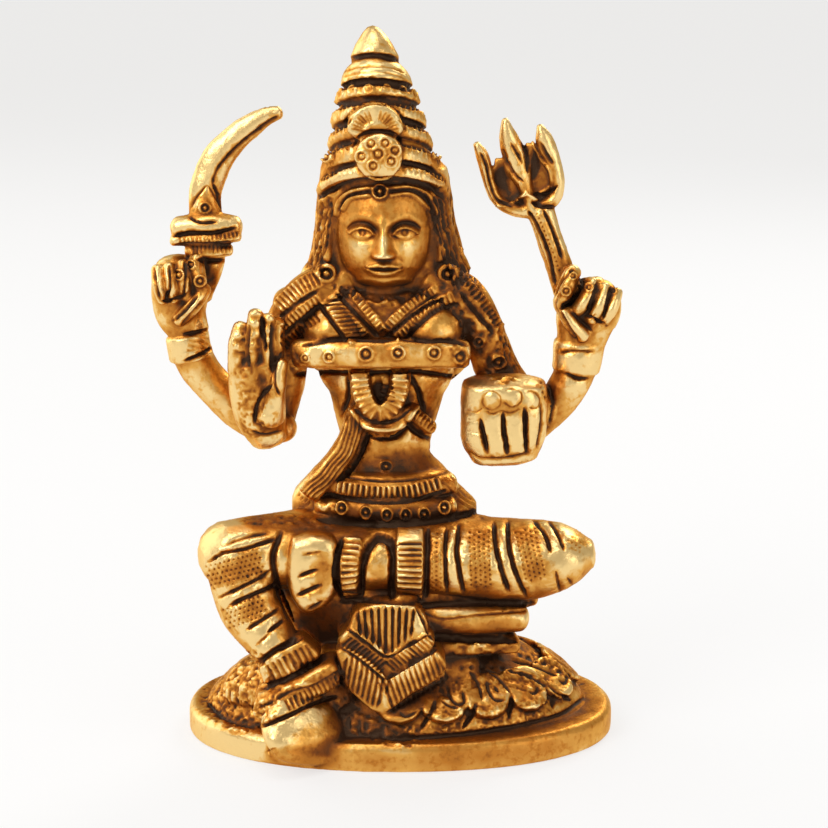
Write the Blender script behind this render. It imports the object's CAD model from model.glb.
import bpy
import bmesh
import math
import numpy as np
from mathutils import Matrix, Vector
from mathutils.bvhtree import BVHTree


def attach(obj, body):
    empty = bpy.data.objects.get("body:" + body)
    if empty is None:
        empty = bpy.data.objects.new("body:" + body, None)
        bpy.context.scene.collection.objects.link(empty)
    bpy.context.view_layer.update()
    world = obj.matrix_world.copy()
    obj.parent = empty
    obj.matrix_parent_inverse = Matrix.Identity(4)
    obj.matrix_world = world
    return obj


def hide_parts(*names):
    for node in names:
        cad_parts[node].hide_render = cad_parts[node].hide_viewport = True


# Goddess idol, one brass casting. Sizes below are in millimetres, and the mesh is made in metres.
# X to the viewer's right, the figure faces -Y, Z up from the underside of the plinth.
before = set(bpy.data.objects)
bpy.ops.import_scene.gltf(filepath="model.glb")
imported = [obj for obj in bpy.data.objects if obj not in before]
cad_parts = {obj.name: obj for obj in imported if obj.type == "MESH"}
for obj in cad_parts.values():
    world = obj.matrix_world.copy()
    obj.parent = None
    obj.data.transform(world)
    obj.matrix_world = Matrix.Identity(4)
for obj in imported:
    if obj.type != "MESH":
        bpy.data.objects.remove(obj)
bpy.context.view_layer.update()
mm = 0.001

view = {"elevation": 12.6, "distance": 350.0, "lens": 101.2, "sensor": 36.0, "picture": 828, "target": (2.1, 0.0, 48.95)}
fineness = {"voxel": 0.18, "smoothing": 2, "triangles": 196000}

shells = []  # every closed shell of the casting: points in mm, faces
centre = view["picture"] / 2
pixelsPerMm = view["lens"] / view["sensor"] * view["picture"] / view["distance"]


# shapes

def spline(stations, places):
    # centripetal Catmull-Rom curve through the stations
    p = np.asarray(stations, float)
    p = np.vstack([2 * p[0] - p[1], p, 2 * p[-1] - p[-2]])
    made = []
    for place in np.atleast_1d(places):
        run = min(max(place, 0.0) * (len(p) - 3), len(p) - 3 - 1e-9)
        i = int(run)
        w = run - i
        a, b, c, d = p[i:i + 4]
        knots = [max(np.linalg.norm(v) ** 0.5, 1e-4) for v in (b - a, c - b, d - c)]
        leave = ((b - a) / knots[0] - (c - a) / (knots[0] + knots[1]) + (c - b) / knots[1]) * knots[1]
        arrive = ((c - b) / knots[1] - (d - b) / (knots[1] + knots[2]) + (d - c) / knots[2]) * knots[1]
        made.append(b + leave * w + (3 * (c - b) - 2 * leave - arrive) * w ** 2
                    + (2 * (b - c) + leave + arrive) * w ** 3)
    return np.array(made)


def rounded(turns, power):
    # unit superellipse: 2 is round, more is boxier
    c, s = np.cos(turns), np.sin(turns)
    reach = (np.abs(c) ** power + np.abs(s) ** power) ** (-1 / power)
    return c * reach, s * reach


def skin(rings):
    # closes rows of points into one shell, with a point at each end
    rows, sides = rings.shape[:2]
    points = np.vstack([rings.reshape(-1, 3), rings[0].mean(0), rings[-1].mean(0)])
    first, last = rows * sides, rows * sides + 1
    faces = []
    for r in range(rows - 1):
        for k in range(sides):
            n = (k + 1) % sides
            faces.append((r * sides + k, r * sides + n, (r + 1) * sides + n, (r + 1) * sides + k))
    for k in range(sides):
        n = (k + 1) % sides
        faces.append((first, n, k))
        faces.append((last, (rows - 1) * sides + k, (rows - 1) * sides + n))
    return points, faces


def limb(stations, boxy=2.0, deep=(0, 1, 0), ends=0.8, sides=28, steps=24):
    # rounded bar along a spine; a station is x, y, z, half width, half depth
    s = np.array([[*p[:4], p[4] if len(p) > 4 else p[3]] for p in stations], float)
    cap = np.linspace(0, math.pi / 2, 6)[:-1]
    places = np.concatenate([np.zeros(5), np.linspace(0, 1, steps + 1), np.ones(5)])
    wide = np.concatenate([np.sin(cap) + 0.02, np.ones(steps + 1), (np.sin(cap) + 0.02)[::-1]])
    beyond = np.concatenate([-np.cos(cap), np.zeros(steps + 1), np.cos(cap)[::-1]])
    spine = spline(s[:, :3], places)
    sizes = spline(s[:, 3:], places)
    tangents = spline(s[:, :3], np.clip(places + 0.004, 0, 1)) - spline(s[:, :3], np.clip(places - 0.004, 0, 1))
    tangents /= np.linalg.norm(tangents, axis=1)[:, None]
    depth = np.array(deep, float) - tangents * (tangents @ np.array(deep, float))[:, None]
    depth /= np.linalg.norm(depth, axis=1)[:, None]
    across = np.cross(depth, tangents)
    c, d = rounded(np.linspace(0, 2 * math.pi, sides, endpoint=False), boxy)
    lift = beyond * sizes.min(1) * ends
    rings = (spine + tangents * lift[:, None])[:, None] \
        + across[:, None] * (c[None] * (sizes[:, 0] * wide)[:, None])[..., None] \
        + depth[:, None] * (d[None] * (sizes[:, 1] * wide)[:, None])[..., None]
    shells.append(skin(rings))


def strap(stations, **options):
    limb(stations, **{"boxy": 5.0, "ends": 0.35, "sides": 32, **options})


def egg(place, half, lean=0.0):
    # ellipsoid, leaned about X by lean
    up = np.linspace(-math.pi / 2, math.pi / 2, 20)[1:-1]
    turns = np.linspace(0, 2 * math.pi, 28, endpoint=False)
    ring = np.stack([np.cos(up)[:, None] * np.cos(turns), np.cos(up)[:, None] * np.sin(turns),
                     np.sin(up)[:, None] * np.ones(28)], -1) * np.array(half)
    y, z = ring[..., 1].copy(), ring[..., 2].copy()
    ring[..., 1] = y * math.cos(lean) - z * math.sin(lean)
    ring[..., 2] = y * math.sin(lean) + z * math.cos(lean)
    shells.append(skin(ring + np.array(place, float)))


def oval(profile, ratio, square=2.0, at=(0.0, 0.0), sides=120, shape=None):
    # body with an oval plan: profile rows are half width and height, bottom to top
    rows = np.array(profile, float)
    c, s = rounded(np.linspace(0, 2 * math.pi, sides, endpoint=False), square)
    rings = np.stack([rows[:, :1] * c, rows[:, :1] * s * ratio, np.repeat(rows[:, 1:], sides, 1)], -1)
    if shape:
        rings = shape(rings)
    shells.append(skin(rings + np.array([*at, 0.0])))


def softened(profile, amount=0.35):
    # rounds each corner of a profile
    rows = np.array(profile, float)
    made = [rows[0]]
    for a, b, c in zip(rows[:-2], rows[1:-1], rows[2:]):
        for t in (0.0, 0.5, 1.0):
            before = b + (a - b) * min(0.45, amount / max(np.linalg.norm(a - b), 1e-6))
            after = b + (c - b) * min(0.45, amount / max(np.linalg.norm(c - b), 1e-6))
            made.append((1 - t) ** 2 * before + 2 * t * (1 - t) * b + t ** 2 * after)
    return made + [rows[-1]]


def mix(a, b, t):
    return a + (b - a) * t


def fromPicture(px, py, y):
    # the point that the camera sees at a pixel, at depth y
    e = math.radians(view["elevation"])
    ahead, up = np.array([0, math.cos(e), -math.sin(e)]), np.array([0, math.sin(e), math.cos(e)])
    eye = np.array(view["target"]) - ahead * view["distance"]
    focal = pixelsPerMm * view["distance"]
    ray = ahead + np.array([1, 0, 0]) * (px - centre) / focal + up * (centre - py) / focal
    return eye + ray * (y - eye[1]) / ray[1]


def slab(corners, y, thick, edge=0.8):
    # flat piece with a rounded front edge, its corners in pixels of the picture
    rim = spline([fromPicture(*c, y) for c in corners] + [fromPicture(*corners[0], y)],
                 np.linspace(0, 1, len(corners) * 5 + 1)[:-1])
    inward = rim.mean(0) - rim
    inward /= np.linalg.norm(inward, axis=1)[:, None]
    turns = np.linspace(0, math.pi / 2, 5)
    rings = [rim + inward * edge * (1 - math.sin(t)) + np.array([0, edge * (1 - math.cos(t)), 0]) for t in turns]
    shells.append(skin(np.array(rings + [rim + np.array([0, thick, 0])])))


# rows of small shapes along a path

def meshObject(name, points, faces):
    mesh = bpy.data.meshes.new(name)
    mesh.from_pydata([tuple(p) for p in np.asarray(points, float)], [], [tuple(f) for f in faces])
    thing = bpy.data.objects.new(name, mesh)
    bpy.context.scene.collection.objects.link(thing)
    return thing


def takeShells(make):
    # runs a maker and hands back its shells as one list of points and faces
    global shells
    kept, shells = shells, []
    make()
    points, faces, start = [], [], 0
    for some, corners in shells:
        points.append(some)
        faces += [tuple(i + start for i in f) for f in corners]
        start += len(some)
    shells = kept
    return np.vstack(points), faces


def rowTree(brass):
    # instances one shape along a path; the path's points carry an outward direction
    tree = bpy.data.node_groups.new("shapesAlongPath", "GeometryNodeTree")
    tree.interface.new_socket("Geometry", in_out="INPUT", socket_type="NodeSocketGeometry")
    tree.interface.new_socket("Shape", in_out="INPUT", socket_type="NodeSocketObject")
    tree.interface.new_socket("Spacing", in_out="INPUT", socket_type="NodeSocketFloat").default_value = 1.0
    tree.interface.new_socket("Width", in_out="INPUT", socket_type="NodeSocketFloat").default_value = 1.0
    tree.interface.new_socket("Length", in_out="INPUT", socket_type="NodeSocketFloat").default_value = 1.0
    tree.interface.new_socket("Height", in_out="INPUT", socket_type="NodeSocketFloat").default_value = 1.0
    tree.interface.new_socket("Slant", in_out="INPUT", socket_type="NodeSocketFloat").default_value = 0.0
    tree.interface.new_socket("Unevenness", in_out="INPUT", socket_type="NodeSocketFloat").default_value = 0.1
    tree.interface.new_socket("Seed", in_out="INPUT", socket_type="NodeSocketInt").default_value = 3
    tree.interface.new_socket("Geometry", in_out="OUTPUT", socket_type="NodeSocketGeometry")
    add, link = tree.nodes.new, tree.links.new
    given = add("NodeGroupInput")
    path = add("GeometryNodeMeshToCurve")
    link(given.outputs["Geometry"], path.inputs["Mesh"])
    spaced = add("GeometryNodeResampleCurve")
    spaced.mode = "LENGTH"
    link(path.outputs["Curve"], spaced.inputs["Curve"])
    link(given.outputs["Spacing"], spaced.inputs["Length"])
    outward = add("GeometryNodeInputNamedAttribute")
    outward.data_type = "FLOAT_VECTOR"
    outward.inputs["Name"].default_value = "outward"
    tangent = add("GeometryNodeInputTangent")
    stand = add("FunctionNodeAlignRotationToVector")
    stand.axis = "Z"
    link(outward.outputs["Attribute"], stand.inputs["Vector"])
    follow = add("FunctionNodeAlignRotationToVector")
    follow.axis, follow.pivot_axis = "X", "Z"
    link(stand.outputs["Rotation"], follow.inputs["Rotation"])
    link(tangent.outputs["Tangent"], follow.inputs["Vector"])
    slant = add("ShaderNodeCombineXYZ")
    link(given.outputs["Slant"], slant.inputs["Z"])
    asTurn = add("FunctionNodeEulerToRotation")
    link(slant.outputs["Vector"], asTurn.inputs["Euler"])
    turned = add("FunctionNodeRotateRotation")
    turned.rotation_space = "LOCAL"
    link(follow.outputs["Rotation"], turned.inputs["Rotation"])
    link(asTurn.outputs["Rotation"], turned.inputs["Rotate By"])
    size = add("ShaderNodeCombineXYZ")
    for axis, label in zip("XYZ", ("Width", "Length", "Height")):
        link(given.outputs[label], size.inputs[axis])
    least = add("ShaderNodeMath")
    least.operation = "SUBTRACT"
    least.inputs[0].default_value = 1.0
    link(given.outputs["Unevenness"], least.inputs[1])
    chance = add("FunctionNodeRandomValue")
    link(least.outputs[0], chance.inputs["Min"])
    link(given.outputs["Seed"], chance.inputs["Seed"])
    uneven = add("ShaderNodeVectorMath")
    uneven.operation = "SCALE"
    link(size.outputs["Vector"], uneven.inputs[0])
    link(chance.outputs["Value"], uneven.inputs["Scale"])
    shape = add("GeometryNodeObjectInfo")
    link(given.outputs["Shape"], shape.inputs["Object"])
    placed = add("GeometryNodeInstanceOnPoints")
    link(spaced.outputs["Curve"], placed.inputs["Points"])
    link(shape.outputs["Geometry"], placed.inputs["Instance"])
    link(turned.outputs["Rotation"], placed.inputs["Rotation"])
    link(uneven.outputs["Vector"], placed.inputs["Scale"])
    real = add("GeometryNodeRealizeInstances")
    link(placed.outputs["Instances"], real.inputs["Geometry"])
    finish = add("GeometryNodeSetMaterial")
    finish.inputs["Material"].default_value = brass
    link(real.outputs["Geometry"], finish.inputs["Geometry"])
    result = add("NodeGroupOutput")
    link(finish.outputs["Geometry"], result.inputs["Geometry"])
    return tree


def makeShapes():
    # the small shapes that the rows repeat, one unit wide
    shape = {}

    def rib():
        limb([(0, -0.42, 0, 0.5, 1.0), (0, 0.42, 0, 0.5, 1.0)], deep=(0, 0, 1), ends=0.16, sides=16, steps=4)

    def circlet():
        turns = np.linspace(0, 2 * math.pi, 24, endpoint=False)
        tube = np.linspace(0, 2 * math.pi, 10, endpoint=False)
        points = [((0.4 + 0.1 * math.cos(v)) * math.cos(u), (0.4 + 0.1 * math.cos(v)) * math.sin(u),
                   math.sin(v)) for u in turns for v in tube]
        faces = [(i * 10 + j, (i + 1) % 24 * 10 + j, (i + 1) % 24 * 10 + (j + 1) % 10, i * 10 + (j + 1) % 10)
                 for i in range(24) for j in range(10)]
        shells.append((np.array(points), faces))
        egg((0, 0, 0), (0.17, 0.17, 0.8))

    def petal():
        # shield with its tip towards -Y, standing highest there
        half = spline([(0, -0.5), (0.26, -0.43), (0.45, -0.22), (0.5, 0.1), (0.42, 0.4), (0.2, 0.49), (0, 0.5)],
                      np.linspace(0, 1, 19))
        rim = np.vstack([half, half[-2:0:-1] * (-1, 1)])
        rings = []
        for size, lift in ((0.1, 0.84), (0.55, 0.86), (0.8, 1.0), (0.92, 0.94), (1.0, 0.7), (1.0, -0.6)):
            tall = lift * (1.0 - 0.75 * rim[:, 1]) if lift > 0 else np.full(len(rim), lift)
            rings.append(np.column_stack([rim * size, tall]))
        shells.append(skin(np.array(rings)))

    for name, make in {"rib": rib, "circlet": circlet, "petal": petal}.items():
        shape[name] = meshObject(name + "Shape", *takeShells(make))
    return shape


def row(path, outward, shapeName, spacing, width, length, height, slant=0.0, unevenness=0.12, seed=3):
    # lays a row along the path and keeps its shells
    thing = meshObject("path", path, [])
    thing.data.edges.add(len(path) - 1)
    thing.data.edges.foreach_set("vertices", [i for k in range(len(path) - 1) for i in (k, k + 1)])
    facing = thing.data.attributes.new("outward", "FLOAT_VECTOR", "POINT")
    facing.data.foreach_set("vector", np.asarray(outward, float).ravel())
    modifier = thing.modifiers.new("row", "NODES")
    modifier.node_group = rowNodes
    sockets = {s.name: s.identifier for s in rowNodes.interface.items_tree if s.in_out == "INPUT"}
    for label, value in (("Shape", smallShapes[shapeName]), ("Spacing", spacing), ("Width", width),
                         ("Length", length), ("Height", height), ("Slant", slant),
                         ("Unevenness", unevenness), ("Seed", seed)):
        modifier[sockets[label]] = value
    depsgraph = bpy.context.evaluated_depsgraph_get()
    mesh = bpy.data.meshes.new_from_object(thing.evaluated_get(depsgraph))
    points = np.empty(len(mesh.vertices) * 3)
    mesh.vertices.foreach_get("co", points)
    shells.append((points.reshape(-1, 3), [tuple(p.vertices) for p in mesh.polygons]))
    bpy.data.objects.remove(thing)
    bpy.data.meshes.remove(mesh)


def arc(turnFrom, turnTo, count, place):
    # path and outward directions from a function of a turn
    turns = np.linspace(turnFrom, turnTo, count)
    return np.array([place(t)[0] for t in turns]), np.array([place(t)[1] for t in turns])


def frontRow(stations, proud, **options):
    # a row along the front of a strap
    places = np.linspace(0, 1, 24)
    s = np.array([[*p[:4], p[4] if len(p) > 4 else p[3]] for p in stations], float)
    path = spline(s[:, :3], places)
    depth = spline(s[:, 3:], places)[:, 1]
    tangents = np.gradient(path, axis=0)
    tangents /= np.linalg.norm(tangents, axis=1)[:, None]
    outward = np.array([0.0, -1.0, 0.0]) + tangents * tangents[:, 1:2]
    outward /= np.linalg.norm(outward, axis=1)[:, None]
    row(path + outward * (depth * proud)[:, None], outward, **options)


# base

plinth = {"halfWidth": 32.5, "halfDepth": 21.4, "height": 4.2, "edge": 0.8, "square": 2.2}
mound = {"x": -0.7, "halfWidth": 29.2, "depthRatio": 0.62, "top": 14.0, "square": 2.1}
lotus = {"width": 7.4, "length": 7.6, "height": 0.7, "frontPitch": 5.9, "backPitch": 6.2, "z": 9.0, "steep": 0.8,
         "rockFrom": -2.3, "rockTo": 0.02}


def makeBase():
    p = plinth
    rim = [(0.02, 0), (p["halfWidth"] - 0.3, 0), (p["halfWidth"], 0.3), (p["halfWidth"], p["height"] - p["edge"]),
           (p["halfWidth"] - p["edge"], p["height"]), (0.02, p["height"])]
    oval(softened(rim, 0.4), p["halfDepth"] / p["halfWidth"], p["square"])
    a, under = mound["halfWidth"], plinth["height"] - 0.8
    slope = [(0.02, under), (a, under), (a - 0.4, 5.0), (a - 2.0, 6.8), (a - 4.6, 9.2), (a - 8.6, 11.8),
             (a - 13, mound["top"]), (0.02, mound["top"])]
    oval(softened(slope, 1.2), mound["depthRatio"], mound["square"], at=(mound["x"], 0))
    filling = [(0.02, 10), (18, 10), (17.6, 16), (19.6, 20), (20.6, 25), (16, 27), (0.02, 27)]
    oval(softened(filling, 2.5), 0.62, 2.2, at=(mound["x"], 0.6))
    # rock under the hanging leg, and the ground behind the hems
    limb([(-21, -4, 8.0, 4.4, 7), (-16, -9, 9.0, 4.8, 6), (-10, -11.6, 9.4, 4.8, 5)], ends=1)
    limb([(-10, -9.6, 11, 5, 4.6), (2, -9.6, 11, 5.4, 4.6), (9, -8.6, 11, 4.4, 4)])
    limb([(-6.2, -7.6, 19.2, 4.6, 4.6), (6, -7.4, 18.6, 4.8, 4.4), (13, -6, 17.6, 4.2, 4)])


def makePetals():
    # a row of lotus petals round the mound, but for the rock at the front left
    q = lotus
    a = mound["halfWidth"] - 3.9
    b = a * mound["depthRatio"]

    def place(turn):
        flat = np.array([math.sin(turn) * b, -math.cos(turn) * a, 0])
        flat /= np.linalg.norm(flat)
        spot = np.array([mound["x"] + a * math.sin(turn), -b * math.cos(turn), q["z"]])
        return spot, flat * math.cos(q["steep"]) + np.array([0, 0, math.sin(q["steep"])])

    for turnFrom, turnTo, pitch in ((q["rockTo"], 1.62, q["frontPitch"]), (1.72, 2 * math.pi + q["rockFrom"], q["backPitch"])):
        path, outward = arc(turnFrom, turnTo, 90, place)
        row(path, outward, "petal", pitch, q["width"], q["length"], q["height"], unevenness=0.06, seed=5)


petalMarks = {
    "curlSmall": ("groove", [(399, 712), (404, 716), (411, 715), (418, 711)], 0.26, 0.35),
    "curlOne": ("groove", [(447, 686), (450, 697), (457, 704), (464, 702), (462, 691)], 0.28, 0.4),
    "curlOneInner": ("groove", [(441, 700), (449, 706), (458, 708)], 0.22, 0.3),
    "curlTwo": ("groove", [(486, 681), (489, 692), (496, 700), (504, 700)], 0.28, 0.4),
    "curlTwoInner": ("groove", [(494, 686), (498, 692)], 0.22, 0.3),
    "curlThree": ("groove", [(529, 691), (535, 693), (538, 687)], 0.28, 0.35),
    "curlFour": ("groove", [(559, 680), (565, 683), (567, 677)], 0.26, 0.35),
    "veinOne": ("groove", [(470, 672), (478, 684), (482, 700)], 0.24, 0.35, 0.8),
    "veinTwo": ("groove", [(487, 670), (500, 680), (511, 693)], 0.28, 0.4),
    "veinThree": ("groove", [(508, 670), (528, 676), (546, 687)], 0.24, 0.35),
    "veinFour": ("groove", [(512, 661), (535, 667), (556, 676)], 0.22, 0.3),
    "dotsHigh": ("pits", [(520, 655), (550, 666), (575, 682)], 0.6, 1.3, 0.3),
    "dotsLow": ("pits", [(462, 668), (500, 668), (540, 680)], 0.9, 1.5, 0.3),
    "grainHigh": ("rough", [(530, 652), (556, 664), (578, 680)], 1.6, 0.4, 0.14),
    "grainMiddle": ("rough", [(440, 690), (490, 680), (545, 684)], 1.6, 0.4, 0.16),
    "grainLow": ("rough", [(425, 712), (470, 712), (520, 706), (560, 696)], 1.2, 0.4, 0.14),
    "slotOne": ("groove", [(436, 700), (431, 712), (420, 730)], 0.36, 0.6),
    "slotTwo": ("groove", [(477, 703), (471, 716), (463, 728)], 0.4, 0.7),
    "slotThree": ("groove", [(512, 694), (511, 706), (509, 718)], 0.36, 0.6),
    "slotFour": ("groove", [(550, 686), (560, 694), (570, 700)], 0.4, 0.7),
    "slotFive": ("groove", [(552, 696), (553, 708)], 0.4, 0.5),
    "plinthLine": ("groove", [(385, 739), (430, 737), (480, 732), (530, 723), (565, 712), (584, 698)], 0.35, 0.4, 0.8),
    "groundBand": ("rough", [(400, 730), (450, 728), (500, 722), (548, 713)], 1.0, 0.4, 0.14),
    "groundPolish": ("worn", [(432, 727), (470, 725), (510, 718), (545, 710)], 0.8, 0.35),
    "rimShade": ("stained", [(430, 756), (500, 750), (560, 737), (600, 716)], 2.6, 0.52),
    "rimShadeMiddle": ("stained", [(290, 764), (340, 762), (430, 760)], 1.2, 0.3),
    "rimPolish": ("worn", [(205, 738), (245, 751)], 1.6, 0.5),
}


# legs and cloth

thigh = {"knee": (28.4, -6, 28.8), "halfHeight": 4.1, "high": 5.9}
thighMarks = {
    "bandEdge": ("groove", [(428, 529), (427, 560), (426, 596)], 0.55, 0.9),
    "firstPairLeft": ("groove", [(447, 528), (445, 555), (447, 592)], 0.4, 0.75),
    "firstPairRight": ("groove", [(459, 526), (457, 550), (460, 575), (464, 594)], 0.45, 0.8),
    "secondPairLeft": ("groove", [(494, 522), (496, 545), (501, 567), (509, 593)], 0.45, 0.8),
    "secondPairRight": ("groove", [(508, 520), (509, 545), (514, 567), (526, 597)], 0.42, 0.75),
    "thirdPairLeft": ("groove", [(533, 519), (545, 535), (551, 552)], 0.36, 0.65),
    "thirdPairRight": ("groove", [(548, 519), (558, 535), (564, 550)], 0.3, 0.55),
    "kneeCreaseLeft": ("groove", [(556, 572), (560, 592)], 0.3, 0.4),
    "kneeCreaseRight": ("groove", [(567, 577), (572, 585)], 0.25, 0.3),
    "dotsNarrow": ("pits", [(437, 533), (436, 590)], 0.9, 0.72, 0.22),
    "dotsMiddle": ("pits", [(479, 532), (481, 588)], 1.9, 0.72, 0.24),
    "dotsOuter": ("pits", [(525, 530), (536, 580)], 1.9, 0.72, 0.22),
    "dotsKnee": ("pits", [(568, 540), (582, 548)], 0.9, 0.72, 0.18),
    "fold": ("groove", [(418, 606), (470, 603), (535, 604)], 0.5, 0.6),
    "shinBevel": ("groove", [(424, 612), (440, 619), (470, 616), (527, 610)], 0.22, 0.25, 0.4),
    "underShin": ("groove", [(426, 636), (470, 639), (519, 640)], 0.6, 0.8),
    "strip": ("rough", [(458, 650), (518, 645)], 1.3, 0.6, 0.3),
    "polishedShin": ("worn", [(428, 612), (480, 606), (520, 607)], 0.4, 0.4),
    "shinShade": ("stained", [(432, 628), (480, 627), (522, 626)], 1.1, 0.65),
    "polishedKnee": ("worn", [(470, 556), (590, 548)], 1.3, 0.35),
    "kneeShade": ("stained", [(470, 590), (540, 592), (578, 574)], 1.2, 0.38),
    "topShade": ("stained", [(425, 523), (470, 521), (520, 525)], 1.2, 0.6),
    "shade": ("stained", [(440, 660), (480, 663), (520, 652)], 1.8, 0.85),
}
shin = {"knee": (-24.8, -8.4, 29.4), "ankle": (-16.2, -14.4, 13.4)}
anklets = [{"front": -17.4, "thick": 5.0, "edge": 0.9,
            "corners": [(259, 669), (279, 652), (299, 640), (311, 647), (320, 658), (302, 668), (284, 677), (266, 685)]},
           {"front": -19.8, "thick": 6.5, "edge": 1.2,
            "corners": [(252, 716), (256, 701), (275, 691), (300, 679), (320, 668), (333, 665), (339, 677), (337, 688),
                        (320, 697), (300, 707), (281, 717), (262, 725)]}]
legMarks = {
    "foldOneHigh": ("groove", [(224, 545), (246, 537), (266, 533)], 0.25, 0.35, 0.7),
    "foldOneLow": ("groove", [(208, 562), (222, 553), (242, 549), (262, 543), (277, 538)], 0.38, 0.6),
    "dotsHigh": ("pits", [(208, 576), (262, 562)], 2.3, 0.72, 0.3),
    "foldTwoHigh": ("groove", [(218, 598), (240, 588), (262, 577), (270, 571)], 0.32, 0.5),
    "foldTwoLow": ("groove", [(228, 606), (245, 598), (262, 591), (277, 584)], 0.4, 0.7),
    "dotsLow": ("pits", [(226, 619), (264, 605)], 1.9, 0.72, 0.3),
    "foldThreeHigh": ("groove", [(246, 630), (262, 620), (279, 609)], 0.36, 0.55),
    "foldThreeSlot": ("groove", [(268, 632), (284, 620)], 0.36, 0.6),
    "foldThreeLow": ("groove", [(255, 646), (270, 633)], 0.22, 0.3, 0.6),
    "kneeSide": ("groove", [(281, 532), (273, 556), (276, 580), (284, 604), (292, 622)], 0.6, 0.9),
    "hemGap": ("groove", [(258, 663), (276, 650), (302, 637)], 0.55, 1.0),
    "ankletOneRibs": ("ribs", [(268, 675), (312, 652)], 1.5, 0.95, 0.32),
    "ankletGap": ("groove", [(260, 689), (286, 679), (322, 660)], 0.45, 0.8),
    "ankletTwoLine": ("groove", [(256, 710), (290, 692), (312, 686), (338, 671)], 0.22, 0.3, 0.6),
    "ankletTwoRibs": ("ribs", [(286, 706), (337, 681)], 1.0, 0.75, 0.35),
    "ankletTwoGrain": ("rough", [(262, 700), (325, 673)], 0.9, 0.5, 0.14),
    "footGap": ("groove", [(259, 727), (285, 717), (320, 701), (336, 697)], 0.4, 0.8),
    "footSide": ("stained", [(330, 708), (337, 735), (322, 752), (298, 758), (278, 758)], 1.5, 0.8),
    "toeGap": ("groove", [(266, 752), (276, 748)], 0.22, 0.3, 0.6),
    "polishedKnee": ("worn", [(208, 560), (236, 538)], 1.9, 1.0),
    "polishedBend": ("worn", [(222, 596), (258, 650)], 1.0, 0.55),
    "polishedAnklet": ("worn", [(268, 672), (290, 662)], 1.1, 0.65),
    "polishedBand": ("worn", [(262, 716), (300, 698)], 0.9, 0.6),
    "polishedFoot": ("worn", [(270, 742), (290, 727), (322, 714)], 1.1, 0.7),
    "insideLeg": ("stained", [(290, 632), (320, 640), (340, 690), (355, 720)], 1.6, 0.9),
    "rock": ("rough", [(222, 700), (250, 672), (262, 700), (240, 712)], 3.6, 0.45, 0.26),
    "rockPolish": ("worn", [(232, 690), (256, 676), (250, 705)], 2.2, 0.35),
    "rockFoot": ("groove", [(207, 702), (222, 717), (242, 725), (256, 728)], 0.3, 0.3, 0.7),
}
lap = {"front": -13.9, "z": 28.9, "high": 4.7,
       "block": [(292, 541), (312, 537), (334, 543), (339, 565), (336, 594), (328, 607), (304, 616), (290, 598), (285, 565)]}
lapMarks = {
    "blockSide": ("groove", [(343, 538), (337, 560), (336, 580), (343, 600)], 0.55, 1.0),
    "blockSlotHigh": ("groove", [(303, 555), (320, 552)], 0.25, 0.3, 0.7),
    "blockSlot": ("groove", [(298, 577), (308, 573), (317, 570)], 0.35, 0.6),
    "blockSlotLow": ("groove", [(297, 596), (308, 591), (321, 585)], 0.4, 0.6),
    "blockFoot": ("groove", [(308, 610), (322, 602)], 0.3, 0.4),
    "ribbedBand": ("band", [(352, 540), (350, 566), (352, 594)], 1.45, 0.7),
    "ribbedBandRibs": ("ribs", [(352, 541), (350, 566), (352, 593)], 1.4, 0.84, 0.4),
    "loop": ("groove", [(361, 596), (362, 572), (366, 552), (377, 538), (389, 541), (392, 556), (391, 596)], 0.75, 1.3),
    "wideBand": ("band", [(410, 531), (410, 562), (409, 598)], 1.95, 0.7),
    "wideBandRibs": ("ribs", [(410, 543), (410, 562), (409, 597)], 1.9, 0.78, 0.4),
    "bandHighlight": ("worn", [(402, 548), (402, 590)], 0.9, 0.45),
    "blockPolish": ("worn", [(297, 550), (312, 547), (296, 575)], 0.9, 0.55),
    "blockShade": ("stained", [(326, 556), (324, 580), (312, 594)], 1.1, 0.5),
    "underLap": ("stained", [(304, 630), (332, 620), (350, 606)], 2.4, 1.0),
    "behindFan": ("stained", [(322, 628), (334, 640), (330, 655)], 1.4, 0.9),
    "loopShade": ("stained", [(377, 556), (378, 592)], 1.5, 0.5),
    "underBands": ("groove", [(340, 602), (365, 600), (395, 602), (420, 602)], 0.5, 0.7),
    "thighTop": ("rough", [(250, 519), (290, 520), (330, 526)], 1.2, 0.5, 0.2),
    "thighShade": ("stained", [(256, 522), (290, 525), (340, 529), (400, 528)], 1.3, 0.8),
}
pleats = {"front": -16.6, "lines": 9, "firstLine": 357, "lastLine": 414, "tip": (388, 655),
          "fan": [(348, 629), (356, 612), (373, 606), (416, 607), (428, 634), (408, 646), (388, 658), (366, 643)]}
hems = [{"front": -17.2, "corners": [[(338, 640), (350, 630), (387, 655), (386, 682), (342, 652)],
                                     [(385, 656), (410, 645), (429, 633), (434, 646), (410, 662), (384, 682)]]},
        {"front": -18.2, "corners": [[(336, 652), (345, 648), (386, 678), (380, 714), (362, 703), (346, 686)],
                                     [(384, 680), (412, 663), (436, 652), (446, 666), (442, 676), (412, 695), (379, 715)]]}]
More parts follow.
